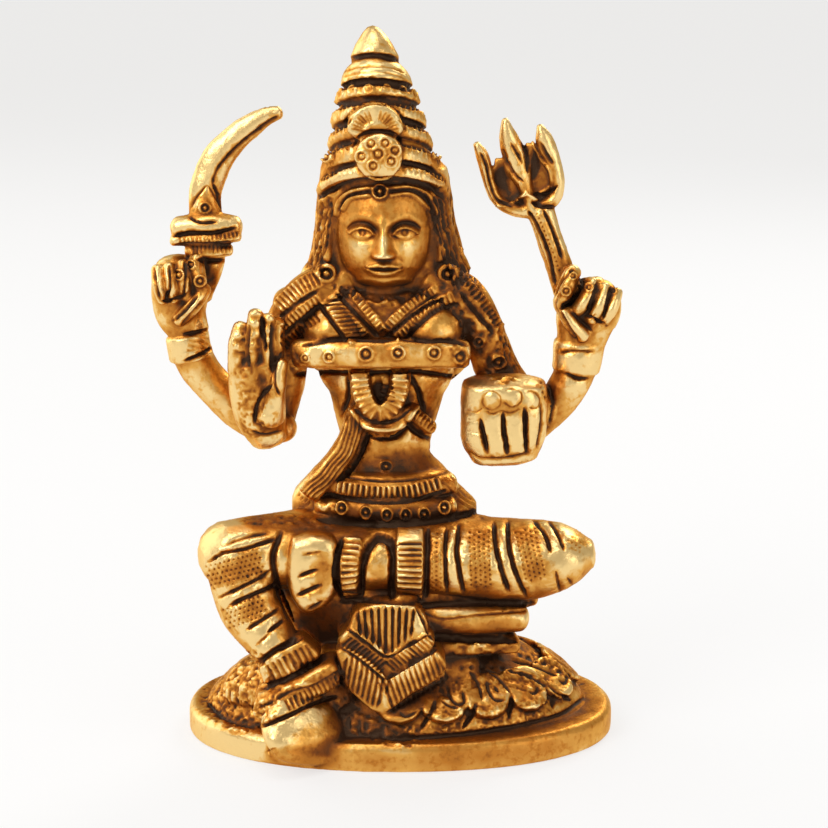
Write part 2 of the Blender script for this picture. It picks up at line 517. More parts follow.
pleatMarks = {
    "fanFoot": ("groove", [(348, 629), (366, 643), (387, 657), (407, 646), (428, 635)], 0.3, 0.6),
    "fanSide": ("groove", [(417, 606), (423, 620), (430, 636)], 0.35, 0.6),
    "hemOneLeft": ("ribs", [(345, 641), (384, 668)], 1.1, 0.7, 0.32, 0.3),
    "hemOneRight": ("ribs", [(388, 668), (431, 641)], 1.0, 0.7, 0.32, -0.3),
    "slot": ("groove", [(386, 679), (410, 664), (436, 649)], 0.42, 1.1),
    "hemOneFoot": ("groove", [(341, 647), (363, 663), (385, 681)], 0.28, 0.5),
    "hemTwoLeft": ("ribs", [(342, 666), (384, 696)], 2.3, 0.95, 0.42, -0.45),
    "hemTwoRight": ("ribs", [(386, 697), (441, 664)], 2.5, 0.85, 0.4, 0.2),
    "polishedFan": ("worn", [(394, 646), (414, 628)], 1.1, 0.6),
    "polishedHem": ("worn", [(402, 676), (434, 660)], 0.9, 0.7),
    "hemEdge": ("worn", [(350, 664), (375, 690)], 1.2, 0.35),
    "around": ("stained", [(445, 682), (420, 700), (385, 722), (360, 725), (345, 700)], 1.2, 0.8),
    "groundRough": ("rough", [(346, 706), (362, 724), (385, 734), (410, 736)], 1.9, 0.5, 0.3),
    "groundShade": ("stained", [(344, 700), (362, 722), (384, 732)], 2.0, 0.75),
}


def makeFoldedLeg():
    (x, y, z), high = thigh["knee"], thigh["high"]
    limb([(-13, -4.6, z - 0.2, 5, 8.2), (-6, -4.8, z - 0.2, 5.4, 8.8), (1, -4.6, z, high, 9.3), (8, -4.8, z - 0.3, high, 9.2),
          (14, -5, z - 0.9, high, 8.6), (19.6, -5.2, z - 1.0, high - 0.1, 7.8), (x - 3.8, y, z - 0.2, thigh["halfHeight"] + 0.6, 6.6),
          (x - 1.5, y, z, thigh["halfHeight"] - 0.6, 5.2), (x, y, z + 0.1, thigh["halfHeight"] - 2, 3.2)],
         ends=0.4, sides=40, steps=44, boxy=2.2)
    limb([(8, -2, z - 5, 4, 6), (16.4, -3, z - 7.4, 3.4, 5)])
    limb([(1.5, -9.4, 20.6, 2.3, 4), (9, -9.4, 20.4, 2.5, 4), (16.6, -7, 19.9, 2.4, 4.8)], boxy=2.4, ends=1)
    limb([(6, -8.4, 15.8, 1.5, 4), (16.4, -6, 15.6, 1.4, 4.8)], boxy=3)
    # the thigh runs into the shin at its far end
    limb([(13, -4.6, 22.4, 2.2, 3.6), (17.4, -4.6, 21.7, 1.9, 3.4), (20, -4.6, 21.7, 1.1, 2.6)])


def makeHangingLeg():
    (x, y, z), (ax, ay, az) = shin["knee"], shin["ankle"]
    limb([(-6, -1, z, 6.0, 8), (-15, -5, z, 5.8, 7.6), (x, y, z, 5.2, 6.2)], ends=1, sides=40)
    limb([(x + 0.6, y - 0.6, z, 5, 5.4), (-22.1, -11, 22, 4.7, 4.8), (-18.8, -13, 17.4, 3.8, 4.2), (ax, ay, az, 3.6, 3.8)])
    limb([(ax + 1, -14.8, 10.4, 4.8, 3.4), (-14.3, -17.8, 6.9, 6.7, 3.3), (-13.7, -20.2, 4.1, 6.7, 2.6),
          (-13.4, -21.4, 2.6, 5.5, 1.6)], deep=(0, 0.5, 1), boxy=2.3)
    for a in anklets:
        slab(a["corners"], a["front"], a["thick"], a["edge"])


def lapBand(x, halfWidth, proud=0.0, ribs=None):
    bend = ((3.4, 1.2), (0.6, 0.6), (-0.2, -0.3), (1, -0.95))
    stations = [(x, lap["front"] + out - proud, lap["z"] + lap["high"] * up, halfWidth, 1.5) for out, up in bend]
    strap(stations)
    if ribs:
        frontRow(stations, 0.94, shapeName="rib", spacing=ribs, width=ribs * 0.8, length=halfWidth * 1.8, height=0.3)


def makeLap():
    z = lap["z"]
    limb([(-15, -6.8, z, 4.9, 5.2), (6, -7, z, 4.9, 5.4)], boxy=2.6)
    slab(lap["block"], lap["front"], 5, 1.8)


def makePleats():
    slab(pleats["fan"], pleats["front"], 6, 0.7)
    for hem in hems:
        for corners in hem["corners"]:
            slab(corners, hem["front"], 7, 0.6)


# trunk and its dress

body = {"hips": (-2.4, 34.0, 14.0, 8.4), "waist": (-2.1, 44.2, 6.5, 4.9), "chest": (-2.4, 59.0, 11.0, 6.0)}
bust = {"spread": 7.2, "radius": 4.8, "y": -3.4, "z": 62.4}
chestBand = {"left": -16.0, "right": 10.4, "z": 59.9, "half": 2.1, "front": -8.9}
belt = {"z": 38.9, "half": 2.3, "front": -7.5, "drop": 2.9, "studs": [(342, 508), (366, 512), (387, 514), (405.5, 514),
        (424, 513.5), (444, 507.5)], "studRadius": 1.0}


def makeTrunk():
    (hx, hz, hw, hd), (x, z, w, d), (cx, cz, cw, cd) = body["hips"], body["waist"], body["chest"]
    limb([(hx, 1, hz - 5, hw, hd), (hx, 0.8, hz + 1.6, hw, hd - 0.6), (x, 0.4, z - 4.2, w + 3, d + 1.7),
          (x, 0.2, z - 0.8, w, d + 0.3), (x, 0.4, z + 4.6, w + 1.2, d + 0.4), (x + 0.1, 0.6, z + 8, w + 2.1, d + 0.7),
          (x + 0.1, 0.6, z + 10.8, w + 3.6, cd), (cx, 0.8, cz + 4, cw, cd - 0.4), (head["x"], 0.8, cz + 8.4, 6.4, 4.6)],
         sides=44, steps=48)
    for side in (-1, 1):
        egg((cx + side * bust["spread"], bust["y"], bust["z"]), (bust["radius"], bust["radius"], bust["radius"] * 0.9))
    limb([(cx - 7.4, -1.8, 64, 4.0, 4.4), (cx, -2.6, 64.2, 4.8, 4.6), (cx + 7.4, -1.8, 64, 4.0, 4.4)], sides=36)
    limb([(head["x"], -0.4, 64, 5, 4.6), (head["x"], -0.8, 70, 4.4, 4.4)])
    # shoulders under the ribbed bands
    limb([(-8.4, -1, 69.2, 3.4, 3.8), (-12.8, -1.6, 67.4, 3.7, 4), (-16.6, -1.4, 63.6, 3.1, 3.6), (-17.8, -0.6, 58.6, 2.7, 3.2)])
    limb([(4.6, -1, 69, 3.6, 3.8), (8.8, -1.4, 66.8, 3.9, 4), (12.2, -1.2, 62, 3.3, 3.7), (13.8, -0.6, 56.6, 2.9, 3.4)])


def chestBend(x):
    middle, half = (chestBand["left"] + chestBand["right"]) / 2, (chestBand["right"] - chestBand["left"]) / 2
    return chestBand["front"] + 3.6 * ((x - middle) / half) ** 2, ((x - middle) / half) ** 2


def makeChestBand():
    c = chestBand
    xs = np.linspace(c["left"] + 1.2, c["right"] - 1.2, 9)
    limb([(x, chestBend(x)[0], c["z"] - 0.6 * chestBend(x)[1], c["half"], 1.5) for x in xs], boxy=3.2, sides=32, steps=40)


garland = {"x": -2.9, "y": -5.7, "z": 56.6, "reach": 3.0, "hang": 6.2, "half": 1.5}
chestMarks = {
    "wideLeft": ("band", [(330, 297), (344, 317), (359, 338)], 1.65, 0.6),
    "wideLeftRibs": ("ribs", [(330, 297), (344, 317), (359, 338)], 1.6, 0.7, 0.35, 0.5),
    "wideRight": ("band", [(454, 297), (426, 311), (394, 336)], 1.0, 0.6),
    "wideRightRibs": ("ribs", [(454, 297), (426, 311), (394, 336)], 0.95, 0.7, 0.35),
    "innerLeft": ("band", [(350, 291), (367, 310), (383, 330)], 0.72, 0.5),
    "innerLeftRibs": ("ribs", [(350, 291), (367, 310), (383, 330)], 0.7, 0.66, 0.3),
    "innerRight": ("band", [(434, 290), (409, 306), (385, 328)], 0.68, 0.5),
    "innerRightRibs": ("ribs", [(434, 290), (409, 306), (385, 328)], 0.66, 0.66, 0.3),
    "gapLeft": ("groove", [(337, 294), (356, 315), (379, 339)], 0.4, 0.7),
    "gapRight": ("groove", [(444, 298), (413, 315), (386, 337)], 0.36, 0.7),
    "underLeft": ("groove", [(320, 305), (332, 322), (345, 339)], 0.38, 0.6),
    "underRight": ("groove", [(456, 303), (434, 312), (419, 324), (406, 339)], 0.42, 0.65),
    "neckLine": ("ridge", [(347, 289), (362, 298), (378, 305), (386, 301)], 0.35, 0.3),
    "neckShade": ("stained", [(345, 288), (380, 296), (430, 286)], 0.5, 0.6),
    "shoulderHigh": ("band", [(319, 278), (300, 289), (279, 308)], 1.3, 0.35),
    "shoulderHighRibs": ("ribs", [(319, 278), (300, 289), (279, 308)], 1.25, 0.74, 0.32),
    "shoulderGap": ("groove", [(317, 292), (298, 302), (279, 318)], 0.28, 0.45),
    "shoulderLow": ("band", [(319, 299), (301, 311), (282, 329)], 0.8, 0.35),
    "shoulderLowRibs": ("ribs", [(319, 299), (301, 311), (282, 329)], 0.78, 0.74, 0.32),
    "shoulderUnder": ("groove", [(321, 304), (303, 319), (282, 337)], 0.5, 0.8),
    "sleeveRibs": ("ribs", [(318, 316), (301, 329), (284, 346)], 0.8, 0.72, 0.3),
    "farShoulder": ("band", [(466, 283), (481, 301), (500, 328)], 0.8, 0.4),
    "farShoulderRibs": ("ribs", [(466, 283), (481, 301), (500, 328)], 0.78, 0.75, 0.34),
    "farShoulderGap": ("groove", [(460, 292), (476, 313), (494, 334)], 0.4, 0.6),
    "farSleeve": ("rough", [(468, 312), (488, 338), (503, 368)], 2.7, 0.6, 0.3),
    "farSleeveShade": ("stained", [(470, 315), (490, 345), (505, 368)], 2.4, 0.6),
    "farEdge": ("strands", [(492, 306), (505, 335), (520, 368)], 1.0, 0.6, 0.2),
    "farArmletLow": ("stud", (498, 362), 1.15, 0.4),
    "farArmletHigh": ("stud", (479, 342), 0.95, 0.35),
    "bandTop": ("groove", [(303, 346), (330, 340), (352, 339), (378, 340), (400, 338), (425, 341), (450, 341), (469, 345)], 0.38, 0.6),
    "bandFoot": ("groove", [(295, 375), (320, 373), (345, 373), (380, 373), (410, 371), (440, 375), (464, 379)], 0.45, 0.6),
    "studOne": ("stud", (305, 358), 0.75, 0.2),
    "studTwo": ("stud", (329, 357), 0.95, 0.25),
    "studThree": ("stud", (366, 354), 1.25, 0.28),
    "studFour": ("stud", (398, 353), 1.15, 0.28),
    "studFive": ("stud", (434, 353), 1.1, 0.25),
    "studSix": ("stud", (460, 357), 1.15, 0.2),
    "bandEndLeft": ("rough", [(291, 352), (296, 368)], 1.2, 0.5, 0.14),
    "bandEndRight": ("rough", [(456, 350), (466, 368)], 1.3, 0.5, 0.14),
    "bandPolishLeft": ("worn", [(312, 356), (352, 354)], 1.2, 0.7),
    "bandPolishRight": ("worn", [(378, 352), (446, 351)], 0.8, 0.35),
    "garlandHole": ("groove", [(378, 376), (378, 394)], 0.85, 0.7, 0.8),
    "garlandRibs": ("ribs", [(386, 384), (388, 402)], 1.2, 0.7, 0.25, 0.4),
    "garlandRight": ("groove", [(408, 374), (418, 390), (424, 412)], 0.5, 0.8),
    "garlandLeft": ("groove", [(347, 377), (348, 396), (341, 414)], 0.45, 0.7),
    "garlandRim": ("ridge", [(350, 409), (362, 424), (379, 430), (396, 428), (409, 419), (417, 408)], 0.4, 0.45),
    "garlandLine": ("groove", [(354, 409), (365, 419), (380, 423), (398, 419), (411, 408)], 0.26, 0.4, 0.7),
    "garlandUnder": ("groove", [(366, 433), (381, 438), (397, 436), (408, 427)], 0.5, 0.8),
    "sashLines": ("strands", [(353, 416), (351, 440), (336, 466), (303, 499)], 1.5, 0.66, 0.3),
    "sashSide": ("groove", [(368, 433), (362, 450), (351, 469), (338, 481)], 0.5, 0.8),
    "farSashRibs": ("ribs", [(414, 414), (438, 429)], 1.0, 0.66, 0.3),
    "farSashUnder": ("groove", [(405, 421), (416, 432), (430, 440)], 0.5, 0.8),
    "navel": ("stud", (386, 466.5), 1.1, 0.35),
    "navelTop": ("groove", [(382, 459), (388, 459)], 0.35, 0.3),
    "neckGrain": ("rough", [(336, 288), (360, 297), (384, 302), (412, 297), (452, 284)], 1.0, 0.5, 0.22),
    "breastShadeLeft": ("stained", [(318, 332), (345, 336)], 1.6, 0.5),
    "breastShadeRight": ("stained", [(420, 335), (440, 322), (458, 330)], 1.7, 0.6),
    "sideShadeLeft": ("stained", [(332, 384), (342, 400), (346, 415)], 1.1, 0.6),
    "sideShadeRight": ("stained", [(430, 384), (430, 405), (428, 430)], 1.5, 0.55),
    "bellyShade": ("stained", [(384, 448), (392, 458), (420, 466)], 2.4, 0.68),
    "bellyShadeLow": ("stained", [(360, 472), (390, 474), (440, 474)], 1.3, 0.6),
    "hipShade": ("stained", [(452, 486), (466, 498)], 1.6, 0.5),
    "innerArm": ("stained", [(292, 378), (296, 400), (292, 418)], 1.0, 0.6),
}
beltMarks = {
    "line": ("groove", [(344, 476), (362, 479), (386, 481.5), (410, 480), (431, 476), (448, 470)], 0.22, 0.35, 0.7),
    "ribbed": ("band", [(338, 487), (360, 490.5), (386, 492.5), (412, 490.5), (441, 483)], 0.95, 0.4),
    "ribs": ("ribs", [(338, 487), (360, 490.5), (386, 492.5), (412, 490.5), (441, 483)], 0.95, 0.86, 0.55),
    "ribbedFoot": ("groove", [(326, 494), (350, 499), (386, 502.5), (412, 500.5), (445, 491)], 0.32, 0.6),
    "foot": ("groove", [(318, 519), (345, 522), (386, 525), (425, 522), (452, 518), (476, 512)], 0.5, 0.8),
    "clothGrain": ("rough", [(318, 503), (332, 510)], 1.2, 0.5, 0.2),
    "cloth": ("worn", [(318, 502), (333, 509)], 1.1, 0.6),
    "studShade": ("stained", [(350, 510), (386, 512), (430, 508)], 1.0, 0.5),
    "farHip": ("strands", [(448, 478), (462, 494), (486, 512)], 1.4, 0.7, 0.16),
}


def makeDress():
    g = garland
    turns = np.linspace(0, math.pi, 13)
    loop = [(g["x"] - g["reach"] * math.cos(t), g["y"], g["z"] - g["hang"] * math.sin(t), g["half"], 1.4) for t in turns]
    strap(loop, steps=40, boxy=3)
    frontRow(loop, 0.93, shapeName="rib", spacing=0.9, width=0.6, length=2.9, height=0.42)
    limb([(-6.4, -4.7, 50.6, 1.0, 1.6), (-2.7, -6.3, 48.0, 1.1, 1.4), (1.2, -5.0, 50.4, 1.0, 1.6)])
    strap([(-6.4, -4.6, 49.8, 1.5, 1.8), (-8.4, -5.2, 44.6, 1.7, 1.8), (-13.6, -5.2, 38.2, 1.9, 2.0)], boxy=3)
    limb([(1.6, -4.6, 50.6, 1.1, 1.6), (4.4, -3.6, 47.8, 1.1, 1.6)])


def makeBelt():
    b, x0 = belt, body["waist"][0]
    for dz, dy, half in ((0.2, 0, b["half"]), (-b["drop"], -0.9, 2.0)):
        limb([(x, b["front"] + dy + 3.4 + 0.022 * (x - x0) ** 2, b["z"] + dz, half * (1 - 0.0035 * (x - x0) ** 2), 3.4)
              for x in (-11.4, -7, x0, 3, 7.0)], boxy=2.6)


# arms and what they hold

def makeSwordArm():
    limb([(-15.9, 0.6, 65.9, 3, 4), (-16.3, 0.8, 60.1, 3, 3.8), (-17.3, 0.4, 54.1, 3.1, 3.6), (-18.9, -0.2, 48.2, 3.1, 3.4)])
    limb([(-31.7, -0.5, 60.1, 3.06, 3.1), (-30.3, -0.3, 56.6, 2.92, 3), (-27.4, -0.2, 52.8, 2.82, 3),
          (-23.6, -0.2, 49.3, 3.01, 3.1), (-19.6, -0.4, 47.4, 3.16, 3.2)])
    limb([(-31.7, -0.5, 60.9, 3.25, 3.4), (-31.2, -0.5, 58, 3.3, 3.4)], ends=0.3, boxy=2.2)
    limb([(-31.5, -0.6, 61.9, 2.98, 2.8), (-32.5, -0.6, 64.6, 3.86, 3.2), (-32.8, -0.6, 67.9, 4.08, 3.3),
          (-32.7, -0.6, 70.9, 3.7, 3)], boxy=2.5)
    for stations in (
            [(-35.6, -3, 71.2, 0.96, 1.4), (-35.4, -4, 69.2, 0.95, 1.5), (-35, -3.2, 67.2, 0.88, 1.4)],
            [(-33.8, -3.2, 71.6, 0.95, 1.4), (-33.5, -4.2, 69.6, 0.95, 1.5), (-33.1, -3.4, 67.4, 0.9, 1.4)],
            [(-31.8, -3, 71.9, 1.05, 1.5), (-31.6, -4.2, 69.9, 1.05, 1.5), (-31.4, -3.4, 67.8, 0.95, 1.4)],
            [(-29.9, -2.6, 72.6, 1.15, 1.6), (-29.5, -3.8, 70.4, 1.15, 1.7), (-29.3, -3, 68.3, 1.05, 1.5)],
            [(-28.8, -3.2, 68.4, 1.1, 1.6), (-30.4, -4.1, 66.1, 1.15, 1.7), (-32.4, -3.6, 64.2, 1.1, 1.6)]):
        limb(stations, ends=0.9)


handMarks = {
    "fingerGapOne": ("groove", [(249, 325), (247, 345), (249, 366)], 0.32, 0.6),
    "fingerGapTwo": ("groove", [(262, 317), (263, 336), (266, 352)], 0.36, 0.8),
    "fingerGapThree": ("groove", [(273, 322), (272, 345), (272, 372)], 0.34, 0.7),
    "segmentsOne": ("ribs", [(240, 322), (238, 362)], 1.0, 1.9, 0.22),
    "segmentsTwo": ("ribs", [(255, 312), (256, 350)], 0.8, 1.7, 0.22),
    "segmentsThree": ("ribs", [(268, 318), (269, 352)], 0.7, 1.7, 0.22),
    "palmHollow": ("groove", [(262, 372), (262, 392)], 0.9, 0.5, 0.6),
    "palmLine": ("groove", [(254, 425), (256, 408), (262, 396), (272, 384)], 0.34, 0.6),
    "palmGrain": ("rough", [(246, 345), (248, 380), (254, 425)], 2.2, 0.4, 0.09),
    "palmShade": ("stained", [(256, 345), (258, 372), (260, 392)], 0.9, 0.5),
    "cushionGrain": ("rough", [(268, 395), (270, 425)], 1.6, 0.4, 0.07),
    "thumbSide": ("groove", [(283, 352), (276, 362), (275, 385), (280, 395)], 0.28, 0.5),
    "base": ("groove", [(251, 431), (266, 435), (282, 431)], 0.28, 0.5),
    "sidePolish": ("worn", [(236, 370), (240, 400), (250, 425)], 1.0, 0.55),
    "moundPolish": ("worn", [(264, 414), (276, 404)], 0.9, 0.85),
    "thumbPolish": ("worn", [(281, 364), (278, 378)], 0.4, 0.7),
    "tipPolish": ("worn", [(236, 325), (238, 350)], 0.8, 0.4),
    "handShade": ("stained", [(285, 350), (286, 400)], 0.6, 0.6),
}


def makeOpenHand():
    limb([(-19.6, -4.4, 47.0, 3.0, 2.8), (-20.5, -5.4, 49.8, 3.8, 2.9), (-21, -6.2, 53.7, 4.15, 2.8), (-21.1, -6.6, 57.6, 4.0, 2.3)],
         boxy=2.4, ends=0.7)
    egg((-17.6, -3.2, 47.6), (2.3, 2.4, 2.2))
    for stations in (
            [(-23.9, -6.8, 57.2, 1.35, 1.6), (-23.7, -7.6, 60.9, 1.34, 1.5), (-23.2, -7.2, 63.4, 1.2, 1.3)],
            [(-21.5, -7, 57.2, 1.2, 1.6), (-21.4, -8, 61.7, 1.25, 1.5), (-21.0, -7.6, 65.4, 1.15, 1.3)],
            [(-19.4, -6.8, 57.2, 1.1, 1.6), (-19.3, -7.6, 61.4, 1.1, 1.5), (-19.1, -7.2, 64.8, 1.0, 1.3)],
            [(-17.8, -6.2, 57.0, 0.8, 1.4), (-17.6, -6.8, 60.8, 0.8, 1.3), (-17.8, -6.4, 64.2, 0.75, 1.2)],
            [(-19.0, -7.6, 50.6, 2.2, 2.2), (-18.2, -8.4, 53.8, 1.4, 1.5), (-17.2, -8.4, 58.4, 0.95, 1.2)]):
        limb(stations, ends=0.9)


swordMarks = {
    "bevel": ("groove", [(212, 184), (217, 170), (228, 156), (245, 140), (262, 127), (279, 116)], 0.3, 0.4, 0.8),
    "bladeFoot": ("groove", [(213, 184), (217, 193), (221, 205)], 0.3, 0.5),
    "plateLeft": ("groove", [(191, 207), (197, 196), (207, 185)], 0.22, 0.35, 0.7),
    "plateRight": ("groove", [(208, 186), (215, 197), (223, 210)], 0.22, 0.35, 0.7),
    "plateFoot": ("groove", [(189, 217), (200, 222.5), (216, 222)], 0.28, 0.5),
    "rivet": ("stud", (205, 208), 0.95, 0.35),
    "guardSlot": ("groove", [(174, 236), (190, 233), (212, 233), (236, 228)], 0.3, 0.7),
    "guardTeeth": ("ribs", [(178, 240), (205, 239.5), (238, 234)], 0.55, 0.62, 0.35),
    "guardFoot": ("groove", [(176, 245), (192, 244), (212, 244), (230, 242)], 0.3, 0.6),
    "collarRibs": ("ribs", [(191, 250), (230, 249)], 0.7, 0.62, 0.2),
    "collarFoot": ("groove", [(197, 259), (210, 261.5), (226, 261)], 0.4, 0.7),
    "bladePolish": ("worn", [(200, 185), (206, 160), (225, 138), (258, 118)], 1.1, 0.8),
    "platePolish": ("worn", [(196, 204), (199, 210)], 0.5, 0.6),
    "guardPolish": ("worn", [(177, 224), (180, 228)], 0.8, 0.7),
}
fistMarks = {
    "nail": ("worn", [(162, 268), (163, 286)], 0.7, 0.95),
    "nailSide": ("groove", [(154, 268), (156, 285), (160, 301)], 0.3, 0.5),
    "nailSideRight": ("groove", [(169, 266), (170, 284), (166, 299)], 0.26, 0.5),
    "secondGap": ("groove", [(185, 262), (186, 278), (183, 296)], 0.26, 0.5),
    "knuckleOne": ("stud", (179, 275), 0.85, 0.3),
    "knuckleTwo": ("stud", (191, 265), 0.8, 0.3),
    "knuckleThree": ("stud", (200, 281), 0.95, 0.3),
    "fingerFoot": ("groove", [(161, 302), (175, 299), (188, 294)], 0.28, 0.5),
    "thumbHigh": ("groove", [(197, 296), (186, 309), (173, 321)], 0.34, 0.7),
    "thumbLow": ("groove", [(182, 325), (190, 316), (202, 302)], 0.26, 0.4, 0.7),
    "wrist": ("groove", [(184, 334), (198, 332), (211, 328)], 0.36, 0.7),
    "cuffLines": ("ribs", [(200, 334), (196, 355)], 1.6, 0.8, 0.12),
    "cuff": ("groove", [(185, 361), (198, 356), (207, 351), (214, 346)], 0.36, 0.7),
    "cuffPolish": ("worn", [(172, 342), (186, 350)], 1.0, 0.5),
    "sideShade": ("stained", [(208, 262), (213, 275), (211, 290)], 0.7, 0.9),
    "forearmPolish": ("worn", [(188, 375), (212, 402)], 0.8, 0.25),
}


def makeSword():
    limb([(-28.7, -0.2, 79.4, 2.43, 1.5), (-28.6, -0.2, 82.5, 2.4, 1.5), (-27.9, -0.2, 84.7, 2.39, 1.4),
          (-26.6, -0.2, 87.5, 2.35, 1.3), (-24.5, -0.2, 90, 2.12, 1.2), (-21.9, -0.2, 92.1, 1.83, 1.1),
          (-19.4, -0.2, 93.6, 1.4, 1), (-17.8, -0.2, 94.1, 1.05, 0.9)], boxy=1.75)
    limb([(-32.4, -0.4, 77.2, 1.75, 2.2), (-28.4, -0.8, 77.6, 1.95, 2.4), (-24.5, -0.4, 77.3, 1.7, 2.2)], boxy=2.4)
    limb([(-33, -0.6, 75.6, 0.9, 2.5), (-28.4, -1.2, 75.7, 1.0, 2.7), (-24.0, -0.6, 76.1, 0.9, 2.5)], boxy=2.6)
    limb([(-30.9, -0.4, 73.9, 0.9, 2.3), (-28, -0.9, 73.9, 1.05, 2.5), (-25.3, -0.4, 74, 0.9, 2.2)], boxy=2.8)
    limb([(-28.2, 0.2, 75.6, 2.3, 1.9), (-28.3, 0.4, 72.6, 2.4, 1.9), (-28.7, 0.8, 70, 2.1, 1.8), (-29.3, 0.8, 66.9, 1.34, 1.6)])
    # pointed plate at the foot of the blade
    limb([(-28.7, -1.2, 78.4, 2.5, 1.0), (-28.7, -1.1, 80.6, 1.9, 0.9), (-28.5, -0.8, 83.4, 0.4, 0.7)], boxy=1.8)


def makeTridentArm():
    limb([(10.4, 0.6, 65.9, 2.4, 3.8), (12.6, 0.8, 61.4, 2.9, 3.8), (14.2, 0.4, 56.8, 3.2, 3.6), (17.2, 0, 51.5, 3.2, 3.6)])
    limb([(26.4, -0.8, 57.4, 3.5, 3.2), (25.7, -0.8, 54.6, 2.95, 3), (23.4, -0.6, 50.9, 2.85, 3), (20, -0.4, 47.9, 3.01, 3.2)])
    limb([(26.7, -0.8, 59.8, 3.85, 3.4), (26.3, -0.8, 56.2, 3.6, 3.4)], ends=0.3, boxy=2.2)
    limb([(27.1, -0.8, 60.9, 3.8, 3), (27.6, -0.8, 63.6, 4.5, 3.3), (28.2, -0.8, 65.6, 4.7, 3.2), (27.1, -0.8, 67.6, 3.7, 2.6)],
         boxy=2.4, ends=0.7)
    for stations in (
            [(25.4, -3, 70.9, 1.3, 1.6), (24.5, -4, 68.9, 1.3, 1.7), (23.7, -3.4, 66.7, 1.15, 1.5)],
            [(28.2, -3.2, 69.2, 1.1, 1.6), (27.2, -4.4, 67.1, 1.1, 1.6), (25.8, -3.8, 65.1, 1.0, 1.4)],
            [(30.1, -3, 68.5, 1.05, 1.5), (29.4, -4.2, 66.5, 1.05, 1.5), (28.2, -3.6, 64.3, 1.0, 1.4)],
            [(31.9, -2.6, 67.7, 0.95, 1.5), (31.3, -3.8, 66.0, 0.95, 1.5), (30.2, -3.2, 63.9, 0.9, 1.4)],
            [(23.7, -3.2, 66.2, 1.1, 1.6), (25.0, -4.1, 64, 1.1, 1.6), (27.0, -3.6, 61.7, 1.0, 1.5)]):
        limb(stations, ends=0.9)


tridentMarks = {
    "leftProng": ("groove", [(480, 152), (486, 165), (490, 185), (497, 200), (512, 206)], 0.32, 0.6),
    "leftWeb": ("groove", [(500, 165), (502, 182), (508, 192)], 1.1, 0.7),
    "leftRim": ("ridge", [(497, 205), (508, 205), (518, 199), (526, 193)], 0.28, 0.4),
    "leafLeft": ("groove", [(503, 150), (507, 164), (514, 175), (523, 182)], 0.32, 0.6),
    "leafRight": ("groove", [(522, 142), (527, 155), (528, 172)], 0.34, 0.6),
    "leafInner": ("groove", [(510, 142), (517, 153), (522, 163)], 0.22, 0.35, 0.7),
    "rightWeb": ("groove", [(532, 150), (535, 165), (534, 178)], 0.8, 0.5),
    "rightProng": ("groove", [(540, 143), (546, 154), (553, 164)], 0.32, 0.5),
    "rightRim": ("ridge", [(531, 140), (540, 158), (551, 172), (551, 185), (540, 192)], 0.28, 0.4),
    "rightInner": ("groove", [(534, 194), (546, 194), (557, 186)], 0.3, 0.6),
    "crossFoot": ("groove", [(531, 202), (542, 206), (554, 207)], 0.38, 0.7),
    "crossHead": ("ridge", [(516, 200), (527, 195), (536, 200)], 0.3, 0.35),
    "shaftLeft": ("groove", [(528, 211), (538, 228), (548, 252), (555, 285)], 0.3, 0.6),
    "shaftRight": ("groove", [(543, 209), (551, 226), (562, 258)], 0.3, 0.6),
    "shaftDots": ("pits", [(537, 214), (550, 245), (560, 272)], 0.5, 0.7, 0.25),
    "leftPolish": ("worn", [(475, 143), (480, 150)], 0.5, 0.7),
    "middlePolish": ("worn", [(505, 124), (509, 140)], 0.7, 0.8),
    "rightPolish": ("worn", [(540, 126), (546, 142), (560, 165), (562, 185)], 0.6, 0.6),
    "crossPolish": ("worn", [(524, 194), (531, 200)], 0.5, 0.7),
    "shaftPolish": ("worn", [(550, 212), (566, 250)], 0.5, 0.4),
    "indexSide": ("groove", [(585, 273), (574, 298), (560, 309)], 0.4, 0.9),
    "shaftFoot": ("groove", [(574, 268), (562, 280), (554, 296)], 0.3, 0.5),
    "indexKnuckleOne": ("stud", (573, 276), 0.65, 0.22),
    "indexKnuckleTwo": ("stud", (566, 291), 0.8, 0.25),
    "fingerGapOne": ("groove", [(598, 281), (593, 297), (588, 313)], 0.32, 0.6),
    "fingerGapTwo": ("groove", [(611, 287), (607, 303), (603, 318)], 0.28, 0.5),
    "knuckleOne": ("stud", (589, 287), 0.75, 0.22),
    "knuckleTwo": ("stud", (613, 291), 0.6, 0.2),
    "fingerFoot": ("groove", [(586, 315), (597, 320), (607, 326)], 0.3, 0.6),
    "thumbSide": ("groove", [(561, 313), (568, 327), (577, 339)], 0.34, 0.8),
    "thumbUnder": ("groove", [(571, 312), (582, 322), (592, 331)], 0.24, 0.4, 0.7),
    "wristHigh": ("groove", [(557, 353), (575, 351), (593, 352)], 0.22, 0.35, 0.7),
    "wrist": ("groove", [(566, 374), (578, 379), (588, 379)], 0.32, 0.6),
    "fistPolish": ("worn", [(603, 288), (607, 310), (600, 340)], 0.8, 0.4),
    "bracelet": ("pits", [(545, 372), (541, 385), (546, 398), (552, 408)], 0.45, 0.8, 0.25),
}


